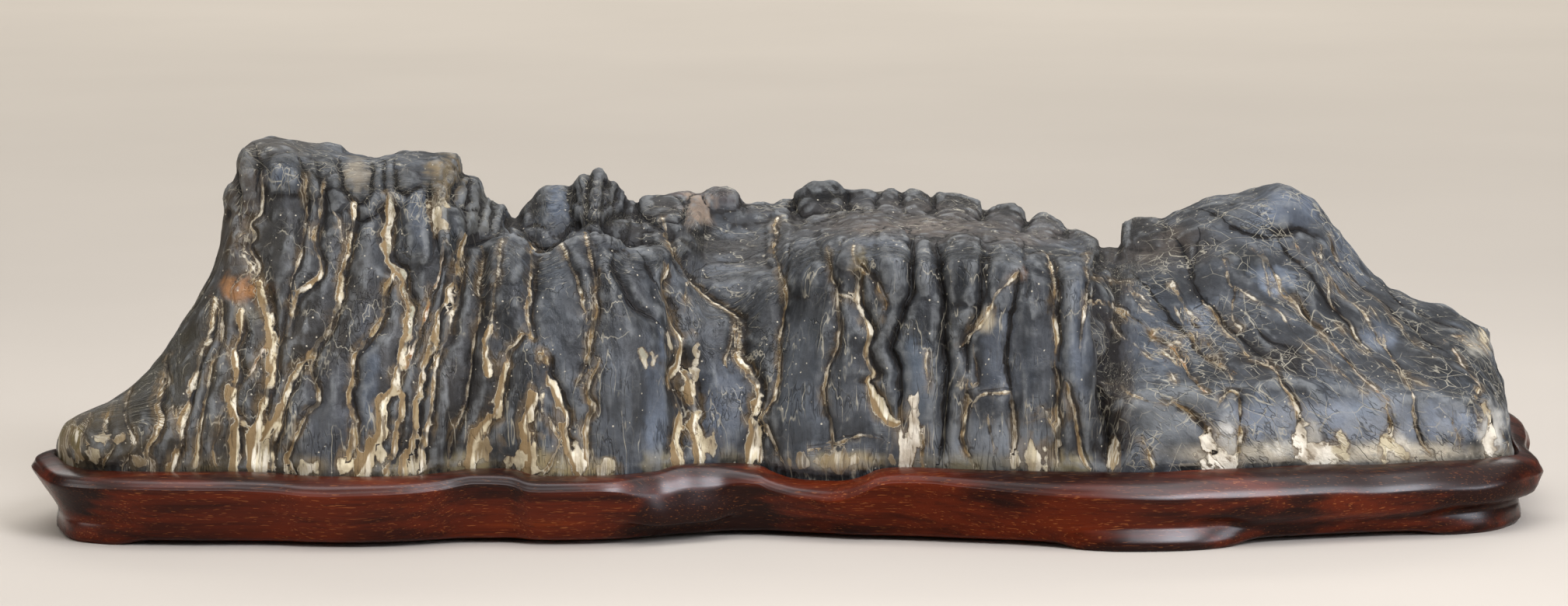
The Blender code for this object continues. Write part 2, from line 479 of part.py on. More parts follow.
def backRelief(points):
    """How far the back moves out: furrows that wander as they drop, laid out by rule."""
    maker = np.random.default_rng(SEED)
    groove = np.zeros(len(points))
    x = -225.0
    while x < 240:
        drift = np.cumsum(maker.uniform(-4, 4, 7))
        path = [(x + d, 126 - 17.5 * k) for k, d in enumerate(drift)]
        distance = lineDistance(points[:, [0, 2]], path)[0]
        depth = maker.uniform(*BACK_FURROW_DEPTH)
        groove = np.maximum(groove, depth * np.exp(-distance / BACK_FURROW_WIDTH))
        x += maker.uniform(*BACK_RIB_SPACING)
    return 0.8 - groove


def knobRelief(points):
    """Rounded knobs for the top: high in the middle of each cell of a cell pattern, low between cells."""
    relief = np.empty(len(points))
    for i, point in enumerate(points / TOP_KNOB_SIZE):
        near = noise.voronoi(point, distance_metric="DISTANCE")[0]
        relief[i] = min(near[1] - near[0], 0.5) - 0.28
    return TOP_KNOB_HEIGHT * 2.0 * relief


def nearRim(points, line):
    """For each point, from the nearest point of the rim line: its height, its normal, and how far outside it is."""
    nearest = np.empty(len(points), int)
    for block in np.array_split(np.arange(len(points)), 1 + len(points) // 2000):
        gaps = points[block, None, :2] - line[None, :, :2]
        nearest[block] = (gaps * gaps).sum(axis=2).argmin(axis=1)
    normals = outwardNormals(line)[nearest]
    outside = ((points[:, :2] - line[nearest, :2]) * normals).sum(axis=1)
    return line[nearest, 2], normals, outside


def carveStone(stone, line):
    """Moves the even mesh in and out along its normals, then tucks its foot inside the recess."""
    shift = np.array([*FRAME_SHIFT, 0.0])
    count = len(stone.data.vertices)
    flat = np.empty(count * 3, np.float32)
    stone.data.vertices.foreach_get("co", flat)
    points = flat.reshape(-1, 3).astype(float) / MM - shift
    stone.data.vertex_normals.foreach_get("vector", flat)
    normals = flat.reshape(-1, 3).astype(float)
    towardEye = -normals[:, 1] * math.cos(VIEW_TILT) + normals[:, 2] * math.sin(VIEW_TILT)
    front = smoothStep(towardEye, -0.05, 0.25)
    back = smoothStep(normals[:, 1], 0.15, 0.5)
    upward = smoothStep(normals[:, 2], 0.45, 0.8)
    relief = front * (1 - 0.5 * upward) * frontRelief(toDrawing(points)) + back * backRelief(points)
    relief += upward * knobRelief(points)
    rimHeight, wallNormals, outside = nearRim(points, line)
    fade = smoothStep(points[:, 2], rimHeight - 1.0, rimHeight + FURROW_TOP_FADE)
    points += normals * (relief * fade)[:, None]
    rimHeight, wallNormals, outside = nearRim(points, line)
    tucked = 1 - smoothStep(points[:, 2], rimHeight, rimHeight + 3.0)
    points[:, :2] -= wallNormals * (np.maximum(outside + WALL_GAP, 0) * tucked)[:, None]
    stone.data.vertices.foreach_set("co", ((points + shift) * MM).astype(np.float32).ravel())
    stone.data.update()


def makeStone():
    """The stone: lofted sections, evened out, carved, and thinned to flat facets."""
    line = rimLine(360)
    stone = remeshed(meshFromRings("loft", stoneSections(line)), "stone")
    carveStone(stone, line)
    even = stone.modifiers.new("even voxels", "REMESH")
    even.mode = "VOXEL"
    even.voxel_size = VOXEL * MM
    graph = bpy.context.evaluated_depsgraph_get()
    quads = len(stone.evaluated_get(graph).data.polygons)
    thin = stone.modifiers.new("facets", "DECIMATE")
    thin.ratio = STONE_TRIANGLES / (2 * quads)
    thin.use_collapse_triangulate = True
    return stone


def paint(target, name, colour, roughness):
    material = bpy.data.materials.new(name)
    material.use_nodes = True
    surface = material.node_tree.nodes["Principled BSDF"]
    surface.inputs["Base Color"].default_value = (*colour, 1)
    surface.inputs["Roughness"].default_value = roughness
    surface.inputs["Metallic"].default_value = 0.0
    target.data.materials.append(material)
    target.data.shade_smooth()
    target.data.set_sharp_from_angle(angle=math.radians(50))


clearScene()
stand = makeStand()
paint(stand, "polished rosewood", (0.10, 0.024, 0.012), 0.3)
stone = makeStone()
paint(stone, "slate-grey limestone", (0.05, 0.056, 0.062), 0.5)
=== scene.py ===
import functools
import math

import bpy
import numpy as np
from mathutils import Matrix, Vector, noise


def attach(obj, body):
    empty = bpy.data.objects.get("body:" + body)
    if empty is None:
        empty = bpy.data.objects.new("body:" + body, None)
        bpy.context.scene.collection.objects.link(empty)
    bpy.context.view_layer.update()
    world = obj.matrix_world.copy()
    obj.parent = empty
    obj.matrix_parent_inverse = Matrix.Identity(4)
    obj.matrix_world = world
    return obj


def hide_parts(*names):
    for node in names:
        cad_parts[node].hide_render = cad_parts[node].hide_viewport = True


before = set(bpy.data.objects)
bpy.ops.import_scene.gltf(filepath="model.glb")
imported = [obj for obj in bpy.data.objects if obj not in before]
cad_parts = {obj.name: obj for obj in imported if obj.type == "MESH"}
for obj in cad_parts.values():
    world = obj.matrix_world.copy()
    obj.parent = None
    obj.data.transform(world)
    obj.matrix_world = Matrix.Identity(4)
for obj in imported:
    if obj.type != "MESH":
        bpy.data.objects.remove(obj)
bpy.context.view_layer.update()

mm = 0.001  # in metres

# The drawing plane: (u, v) in mm is what an eye sees from this far away and this much above the horizon.
drawing = {
    "distance": 1500.0,
    "tilt": math.radians(9.0),
    "centre": (-1.4, 69.3),  # x and z of the point looked at
    "shift": (-1.5, 7.7),  # moves the whole object so that its box stands centred
}


def toSpace(u, v, y):  # the point in space that is seen at (u, v) and lies at depth y
    cosTilt, sinTilt = math.cos(drawing["tilt"]), math.sin(drawing["tilt"])
    slope = (v - drawing["centre"][1]) / drawing["distance"]
    rise = (slope * (drawing["distance"] + y * cosTilt) - y * sinTilt) / (cosTilt + slope * sinTilt)
    away = drawing["distance"] + y * cosTilt - rise * sinTilt
    x = drawing["centre"][0] + (u - drawing["centre"][0]) * away / drawing["distance"]
    return np.stack(np.broadcast_arrays(x, y, rise + drawing["centre"][1]), axis=-1)


def toDrawing(points):  # the (u, v) of points in space
    cosTilt, sinTilt = math.cos(drawing["tilt"]), math.sin(drawing["tilt"])
    rise = points[:, 2] - drawing["centre"][1]
    away = drawing["distance"] + points[:, 1] * cosTilt - rise * sinTilt
    u = drawing["centre"][0] + (points[:, 0] - drawing["centre"][0]) * drawing["distance"] / away
    v = drawing["centre"][1] + (points[:, 1] * sinTilt + rise * cosTilt) * drawing["distance"] / away
    return np.stack([u, v], axis=1)


def ease(value, low, high):  # 0 up to low, 1 from high on, smooth between
    t = np.clip((value - low) / (high - low), 0.0, 1.0)
    return t * t * (3.0 - 2.0 * t)


def curveThrough(keys, values, at):  # smooth through given values, with no overshoot
    keys, values = np.asarray(keys, float), np.asarray(values, float)
    steps = np.diff(keys)
    rises = np.diff(values) / steps
    slopes = np.zeros(len(keys))
    inner = rises[:-1] * rises[1:] > 0
    slopes[1:-1][inner] = 2.0 * (rises[:-1] * rises[1:])[inner] / (rises[:-1] + rises[1:])[inner]
    cell = np.clip(np.searchsorted(keys, at) - 1, 0, len(steps) - 1)
    t = np.clip((at - keys[cell]) / steps[cell], 0.0, 1.0)
    start = values[cell] * (1 + 2 * t) * (1 - t) ** 2 + slopes[cell] * steps[cell] * t * (1 - t) ** 2
    end = values[cell + 1] * t * t * (3 - 2 * t) - slopes[cell + 1] * steps[cell] * t * t * (1 - t)
    return start + end


def roundedLine(points, cuts, closed=False):  # Catmull-Rom, with cuts steps between two points
    points = np.asarray(points, float)
    if closed:
        padded = np.concatenate([points[-1:], points, points[:2]])
    else:
        padded = np.concatenate([2 * points[:1] - points[1:2], points, 2 * points[-1:] - points[-2:-1]])
    a, b, c, d = padded[:-3, None], padded[1:-2, None], padded[2:-1, None], padded[3:, None]
    t = (np.arange(cuts) / cuts).reshape(1, cuts, *[1] * (points.ndim - 1))
    curve = 0.5 * (2 * b + (c - a) * t + (2 * a - 5 * b + 4 * c - d) * t**2 + (3 * b - a - 3 * c + d) * t**3)
    curve = curve.reshape(-1, *points.shape[1:])
    return curve if closed else np.concatenate([curve, points[-1:]])


def outwardNormals(loop):  # smoothed, so that offsets of the loop stay even
    along = np.roll(loop[:, :2], -1, axis=0) - np.roll(loop[:, :2], 1, axis=0)
    normals = np.stack([along[:, 1], -along[:, 0]], axis=1)
    for _ in range(max(2, len(loop) // 8)):
        normals = (np.roll(normals, 1, axis=0) + 2 * normals + np.roll(normals, -1, axis=0)) / 4
    return normals / np.linalg.norm(normals, axis=1, keepdims=True)


def wrappedGrid(name, rings):  # a grid whose rows are laid on rings of points in mm, then sewn shut
    rings = np.asarray(rings)
    rows, around = rings.shape[:2]
    bpy.ops.object.select_all(action="DESELECT")
    bpy.ops.mesh.primitive_grid_add(x_subdivisions=around, y_subdivisions=rows - 1, size=0.5)
    piece = bpy.context.object
    piece.name = piece.data.name = name
    place = np.concatenate([rings, rings[:, :1]], axis=1).reshape(-1, 3) + (*drawing["shift"], 0)
    piece.data.vertices.foreach_set("co", (place * mm).astype(np.float32).ravel())
    bpy.ops.object.mode_set(mode="EDIT")
    bpy.ops.mesh.select_all(action="SELECT")
    bpy.ops.mesh.remove_doubles(threshold=0.002 * mm)
    bpy.ops.mesh.fill_holes(sides=0)
    bpy.ops.mesh.select_all(action="SELECT")
    bpy.ops.mesh.normals_make_consistent(inside=False)
    bpy.ops.object.mode_set(mode="OBJECT")
    return piece


def useModifier(piece, kind, **settings):  # adds it and applies it
    bpy.context.view_layer.objects.active = piece
    made = piece.modifiers.new(kind.lower(), kind)
    for name, value in settings.items():
        setattr(made, name, value)
    bpy.ops.object.modifier_apply(modifier=made.name)


def meshPoints(piece):  # its points in mm and their normals
    flat = np.empty(len(piece.data.vertices) * 3, np.float32)
    piece.data.vertices.foreach_get("co", flat)
    points = flat.reshape(-1, 3).astype(float) / mm - (*drawing["shift"], 0)
    piece.data.vertex_normals.foreach_get("vector", flat)
    return points, flat.reshape(-1, 3).astype(float)


def placePoints(piece, points):  # in mm
    piece.data.vertices.foreach_set("co", ((points + (*drawing["shift"], 0)) * mm).astype(np.float32).ravel())
    piece.data.update()


def keepValues(piece, name, values):  # a number or a colour for each point, for the material to read
    if values.ndim == 1:
        made = piece.data.attributes.new(name, "FLOAT", "POINT")
        made.data.foreach_set("value", values.astype(np.float32))
    else:
        made = piece.data.attributes.new(name, "FLOAT_COLOR", "POINT")
        made.data.foreach_set("color", values.astype(np.float32).ravel())


def linear(hexColour):  # sRGB hex to linear
    parts = [int(hexColour[k : k + 2], 16) / 255 for k in (1, 3, 5)]
    return tuple(p / 12.92 if p <= 0.04045 else ((p + 0.055) / 1.055) ** 2.4 for p in parts)


def clouds(points, size, seed):  # smooth noise from about -1 to 1, in lumps of about this many mm
    cells = points / size
    base = np.floor(cells).astype(np.int64)
    part = cells - base
    share = part**3 * (part * (part * 6 - 15) + 10)
    total = np.zeros(len(points))
    for corner in np.ndindex(*[2] * points.shape[1]):
        key = base + corner  # each corner of a cell gets its own chance direction
        mixed = np.full(len(points), seed * 7919 + 1013, np.int64)
        for k in range(points.shape[1]):
            mixed = (mixed * 1103515245 + key[:, k] * 12345677 + 374761393) & 0x7FFFFFFF
            mixed = (mixed ^ (mixed >> 15)) * 668265263 & 0x7FFFFFFF
        angle = (mixed ^ (mixed >> 13)) * 1274126177 & 0x7FFFFFFF
        turn = (angle & 0xFFFF) / 0x8000 * math.pi
        lift = ((angle >> 15) & 0xFFFF) / 0x8000 - 1
        flat = np.sqrt(np.maximum(1 - lift * lift, 0))
        offset = part - corner
        pull = offset[:, 0] * np.cos(turn) * flat + offset[:, 1] * np.sin(turn) * flat
        if points.shape[1] == 3:
            pull += offset[:, 2] * lift
        weight = np.prod(np.where(corner, share, 1 - share), axis=1)
        total += weight * pull
    return total * 1.7


def addNode(tree, kind, settings=None, *sources, out=None, **named):
    # The node's open sockets take the sources in their order, or by name: a link, a value or a hex colour.
    made = tree.nodes.new("ShaderNode" + kind)
    for name, value in (settings or {}).items():
        setattr(made, name, value)
    openSockets = [socket for socket in made.inputs if socket.enabled]
    given = list(zip(openSockets, sources)) + [(made.inputs[name], source) for name, source in named.items()]
    for socket, source in given:
        if isinstance(source, bpy.types.NodeSocket):
            tree.links.new(source, socket)
        else:
            socket.default_value = (*linear(source), 1) if isinstance(source, str) else source
    return made.outputs[out] if out else next(socket for socket in made.outputs if socket.enabled)


def newMaterial(name, finish):  # the material, its node adder and its surface
    material = bpy.data.materials.new(name)
    material.use_nodes = True
    surface = material.node_tree.nodes["Principled BSDF"]
    for socket, value in finish.items():
        surface.inputs[socket].default_value = value
    return material, functools.partial(addNode, material.node_tree), surface


# Settings that many nodes share. The first sums stay between 0 and 1, and the others are left open.
blend = {"data_type": "RGBA"}
step = {"interpolation_type": "SMOOTHSTEP"}
edges = {"feature": "DISTANCE_TO_EDGE"}
add, times, most = [{"operation": name, "use_clamp": True} for name in ("ADD", "MULTIPLY", "MAXIMUM")]
openAdd, openTimes, take, timesAdd, absolute, scaled = [
    {"operation": name} for name in ("ADD", "MULTIPLY", "SUBTRACT", "MULTIPLY_ADD", "ABSOLUTE", "SCALE")]

# The stand, in mm. The rim's line is (u, v, depth) along the front and (x, y, z, rim width) at the back.
stand = {
    "rimFront": [
        (-252.5, 18.5, -45), (-251, 16.4, -54), (-246, 13.2, -64), (-238, 12.0, -69), (-225, 11.5, -72),
        (-205, 11.4, -73), (-190, 11.5, -73), (-175, 11.0, -74), (-165, 10.0, -76), (-150, 9.8, -77),
        (-135, 9.9, -76), (-122, 10.8, -73), (-115, 11.8, -71), (-108, 12.5, -70), (-95, 12.4, -70),
        (-87, 10.2, -73), (-75, 10.0, -73), (-62, 10.2, -72), (-52, 11.0, -69.4), (-45, 11.8, -66.4),
        (-38, 13.8, -63.6), (-30, 14.3, -60.4), (-20, 14.5, -57.4), (-10, 13.7, -57), (-5, 11.4, -58),
        (2, 9.2, -60), (12, 8.4, -62), (20, 8.5, -64), (26, 10.0, -65), (32, 12.4, -65), (42, 13.0, -66),
        (60, 12.3, -69), (80, 11.7, -72), (100, 11.4, -74), (125, 11.2, -74), (140, 12.0, -72),
        (160, 12.8, -68), (185, 14.0, -62), (200, 13.8, -59), (220, 15.0, -55), (236, 15.6, -49),
        (246, 16.8, -43), (251, 17.8, -33),
    ],
    "rimBack": [
        (246.5, -20, 25.5, 6.5), (247.5, -6, 27.5, 8), (247, 9, 29, 9.5), (243.5, 25, 29.5, 10),
        (235, 38, 28.5, 10), (217, 49, 27, 10), (190, 57, 26, 10), (150, 60, 25, 10), (100, 61, 24, 10),
        (50, 60, 24, 10), (0, 58, 25, 10), (-50, 57, 26, 10), (-100, 54, 25, 10), (-140, 48, 24, 10),
        (-170, 38, 24, 9.5), (-193, 24, 25, 9), (-212, 9, 25, 8.5), (-227, -4, 25, 8), (-237, -16, 25, 7.5),
        (-243, -30, 25, 7),
    ],
    "rimWidth": [
        (-248, 7), (-238, 9), (-200, 10.5), (-150, 9.5), (-110, 9), (-60, 9), (-30, 10.5), (5, 9.5),
        (40, 10), (100, 11), (180, 11.5), (222, 11), (234, 11.4), (241, 9),
    ],
    "rimDrop": [  # how far the rim's top falls to its outer edge, by x
        (-250, 1.6), (-200, 1.8), (-150, 2.6), (-105, 1.0), (-86, 1.5), (-45, 0.7), (-12, 2.2), (0, 1.2),
        (15, 2.6), (35, 1.0), (50, 0.9), (92, 4.0), (140, 4.8), (225, 4.4), (242, 2.8),
    ],
    "frontFeet": [(-246, -224, 2.4), (100, 141, 7.0), (221, 246, 3.4)],  # from x, to x, how far each swells
    "backFeet": [(-225, -195, 2.5), (-30, 25, 4.0), (205, 246, 3.0)],
    "footFade": 14.0,  # the underside drops to a foot over this stretch of x
    "swellFade": (26, 12, 22),  # the wall swells towards a foot: from before it, to inside it, and after it
    "footDepth": 24.0,
    "footHeel": 6.0,
    "floorGap": 1.6,  # the underside's height over the table
    "recessFloor": 10.5,
    "wallLean": 6.4,  # how far the wall draws in below the rim
    "endLean": 3.0,  # and how much more at the ends
    "foldAt": (-37, 19),  # x and half width of the bay where the wall folds over
    "broadFrom": (96, 150),  # the shoulder grows broad over this stretch of x
    "around": 900,  # points round the rim
    "ringCuts": 3,  # steps from one ring of the profile to the next
}


def rimLine(count):  # where stone and rim meet: x, y, z and the rim's width, counter-clockwise from above
    front = [toSpace(u, v, y) for u, v, y in stand["rimFront"]]
    widths = np.interp([p[0] for p in front], *zip(*stand["rimWidth"]))
    loop = roundedLine([(*p, w) for p, w in zip(front, widths)] + stand["rimBack"], cuts=6, closed=True)
    ring = np.concatenate([loop, loop[:1]])
    lengths = np.concatenate([[0], np.cumsum(np.linalg.norm(np.diff(ring[:, :2], axis=0), axis=1))])
    at = np.arange(count) / count * lengths[-1]
    return np.stack([np.interp(at, lengths, ring[:, k]) for k in range(4)], axis=1)


def standRings():  # from the recess floor over the rim and down the wall to the feet and the underside
    line = rimLine(stand["around"])
    normals = outwardNormals(line)
    rim, width = line[:, 2], line[:, 3]
    drop = np.interp(line[:, 0], *zip(*stand["rimDrop"]))
    foot, swell = np.zeros(len(line)), np.zeros(len(line))
    before, within, after = stand["swellFade"]
    for feet, onSide in ((stand["frontFeet"], normals[:, 1] < 0), (stand["backFeet"], normals[:, 1] >= 0)):
        for low, high, out in feet:
            near = ease(line[:, 0], low - stand["footFade"], low) * onSide
            near *= 1 - ease(line[:, 0], high, high + stand["footFade"])
            foot = np.maximum(foot, near)
            pad = ease(line[:, 0], low - before, low + within)
            pad = pad * (1 - ease(line[:, 0], high - within, high + after)) * onSide
            swell = np.maximum(swell, pad * out)
    level = np.ones(len(line))
    apron = 1 - foot
    foldX, foldHalf = stand["foldAt"]
    bulge = np.exp(-((line[:, 0] - foldX) / foldHalf) ** 4) * (normals[:, 1] < 0)  # the fold swells out here
    wallFoot = width - stand["wallLean"] - stand["endLean"] * np.abs(normals[:, 0])
    profile = [  # how far each ring stands out from the rim line, and its height
        (0 * level, stand["recessFloor"] * level),
        (0 * level, rim - 1.0),
        (0.5 * level, rim - 0.2),
        (1.4 * level, rim - 0.1),
        (0.45 * width, rim - 0.3 * drop),
        (0.8 * width, rim - 0.75 * drop - 0.4),
        (width - 0.8, rim - drop - 1.3),
        (width - 0.1, rim - drop - 2.4),
        (width, rim - drop - 3.6),
        (width - 0.38 * (width - wallFoot) + 0.1 * swell, 0.55 * rim - 0.4 * drop + 2.0 * foot),
        (wallFoot + 1.3 * apron + 0.4 * foot + 0.48 * swell, 6.8 + 1.6 * foot),
        (wallFoot + 0.5 * apron + 0.2 * foot + 0.68 * swell, 4.8 + 1.0 * foot),
        (wallFoot - 0.3 * apron + 0.92 * swell, 3.0 + 0.2 * foot),
        (wallFoot - 1.1 * apron - 0.2 * foot + swell, 1.6 + 0.6 * apron),
        (wallFoot - 2.4 * apron - 1.4 * foot + swell, stand["floorGap"] * apron),
        (width - stand["footDepth"], stand["floorGap"] * apron),
        (width - stand["footDepth"] - stand["footHeel"], stand["floorGap"] * level),
    ]
    fold = [
        (0.3 * width, rim - 0.4),
        (0.42 * width, rim - 1.3),
        (0.56 * width, rim - 3.1),
        (0.69 * width, rim - 5.4),
        (0.81 * width, rim - 8.3),
        (width - 0.5, 0.3 * rim),
    ]
    broad = ease(line[:, 0], *stand["broadFrom"]) * ease(-normals[:, 1], 0.2, 0.6)
    shoulder = [
        (0.36 * width, rim - 0.2 * drop),
        (0.6 * width, rim - 0.45 * drop - 0.4),
        (0.8 * width, rim - 0.75 * drop - 1.3),
        (0.93 * width, rim - drop - 2.3),
        (0.99 * width, rim - drop - 4.4),
        (0.9 * width + 0.1 * swell, 0.5 * rim - 0.4 * drop + foot),
    ]
    shoulderRing = 4  # the first of the rings that the fold and the broad shoulder change
    for share, changed in ((bulge, fold), (broad, shoulder)):
        for k, ring in enumerate(changed, shoulderRing):
            profile[k] = tuple(old * (1 - share) + new * share for old, new in zip(profile[k], ring))
    rings = [np.column_stack([line[:, :2] + normals * out[:, None], height]) for out, height in profile]
    rounded = roundedLine(np.array(rings[1:-3]), stand["ringCuts"])
    return np.concatenate([rings[:1], rounded, rings[-3:]])


wood = {
    "dark": "#220b06", "middle": "#60210a", "light": "#a64a0e", "streak": "#170805", "pore": "#b8703c",
    "finish": {
        "Roughness": 0.36, "IOR": 1.5, "Specular IOR Level": 0.05,
        "Coat Roughness": 0.29, "Coat IOR": 1.45,
    },
    "figure": [(60, 24, 2), (70, 3.2, 4), (22, 0.9, 3), (4.5, 0.42, 2)],  # length and width in mm, detail
    "mottle": 0.15,  # how unevenly the stain took
    "polish": (0.26, 1.0),  # the varnish's gloss on the wall and on the edges, which shine most
    "dull": 0.6,  # how much of it is lost in the middle of the front
    "bump": 0.2,
}


def rosewoodMaterial():
    # rosewood, carved, stained and rubbed with oil varnish: a deep red-brown gloss with short open pores
    material, node, surface = newMaterial("carved varnished rosewood", wood["finish"])
    place = node("TexCoord", out="Object")
    figure = []  # noises drawn out along the stand; the pores are drawn 0.4 mm wide so that they show
    for length, across, detail in wood["figure"]:
        scale = (1 / (length * mm), 1 / (across * mm), 1 / (across * mm))
        drawnOut = node("Mapping", Vector=place, Scale=scale)
        figure.append(node("TexNoise", Vector=drawnOut, Scale=1.0, Detail=detail))
    patches, stripes, streaks, pores = figure

    # the wood's tone, with painted shade where the wall turns away at the ends and below the fold
    glow = node("Attribute", {"attribute_name": "glow"}, out="Fac")
    tone = node("Math", openAdd, node("MapRange", step, patches, 0.35, 0.7, 0.0, 0.36), glow)
    tone = node("Math", add, tone, node("MapRange", step, stripes, 0.3, 0.7, -0.12, 0.12))
    base = node("Mix", blend, node("MapRange", step, tone, 0.0, 0.5), wood["dark"], wood["middle"])
    base = node("Mix", blend, node("MapRange", step, tone, 0.45, 1.0), base, wood["light"])
    base = node("Mix", blend, node("MapRange", step, streaks, 0.52, 0.72, 0.0, 0.4), base, wood["streak"])
    pore = node("MapRange", step, pores, 0.62, 0.68)
    pore = node("Math", times, pore, node("MapRange", step, tone, 0.1, 0.6, 0.35, 1.0))
    base = node("Mix", blend, node("Math", times, pore, 0.6), base, wood["pore"])
    surface.id_data.links.new(base, surface.inputs["Base Color"])
    rough = node("MapRange", step, stripes, 0.3, 0.7, 0.24, 0.36)
    surface.id_data.links.new(rough, surface.inputs["Roughness"])
    polish = node("Attribute", {"attribute_name": "polish"}, out="Fac")
    surface.id_data.links.new(polish, surface.inputs["Coat Weight"])
    height = node("Math", timesAdd, pore, -2.4, streaks)
    bump = node("Bump", Strength=wood["bump"], Distance=0.15 * mm, Height=height)
    surface.id_data.links.new(bump, surface.inputs["Normal"])
    return material


# Where the wood is lighter or darker: (u, v), half width, half height, how much. Mostly the wood's own tone;
# the darker ones at the two ends and below the fold are painted shade.
standToneAndShade = [
    (-205, -3, 34, 9, 0.25), (-163, -4, 16, 9, 0.3), (-138, -6, 16, 8, -0.02), (-88, -5, 34, 10, 0.36),
    (-30, -5, 22, 11, -0.34), (30, -6, 30, 8, 0.05), (80, -6, 22, 8, 0.12), (106, 0, 20, 9, 0.4),
    (132, -4, 16, 12, 0.14), (163, -4, 20, 10, -0.2), (208, -4, 26, 12, 0.16), (185, 9, 45, 4, -0.22),
    (243, 0, 12, 12, -0.25), (-232, -2, 14, 10, 0.25), (-247, 0, 8, 12, -0.2),
]


def makeStand():
    piece = wrappedGrid("carvedStand", standRings())
    points, normals = meshPoints(piece)
    seen = toDrawing(points)
    # lighter and darker patches as seen from the front: the wood's own tone, with painted shade among the
    # darker ones
    glow = wood["mottle"] * clouds(points, 40, 51)
    for u, v, halfWidth, halfHeight, amount in standToneAndShade:
        reach = np.hypot((seen[:, 0] - u) / halfWidth, (seen[:, 1] - v) / halfHeight)
        glow += amount * (1 - ease(reach, 0.2, 1.4)) * ease(-normals[:, 1], -0.2, 0.3)
    keepValues(piece, "glow", glow)
    dull = wood["dull"] * ease(seen[:, 0], -5, 15) * (1 - ease(seen[:, 0], 95, 125))
    dull = dull * ease(-normals[:, 1], -0.2, 0.3)
    onWall, onEdges = wood["polish"]
    keepValues(piece, "polish", (onWall + (onEdges - onWall) * ease(normals[:, 2], 0.02, 0.3)) * (1 - dull))
    piece.data.shade_smooth()
    print("stand: made")
    return piece


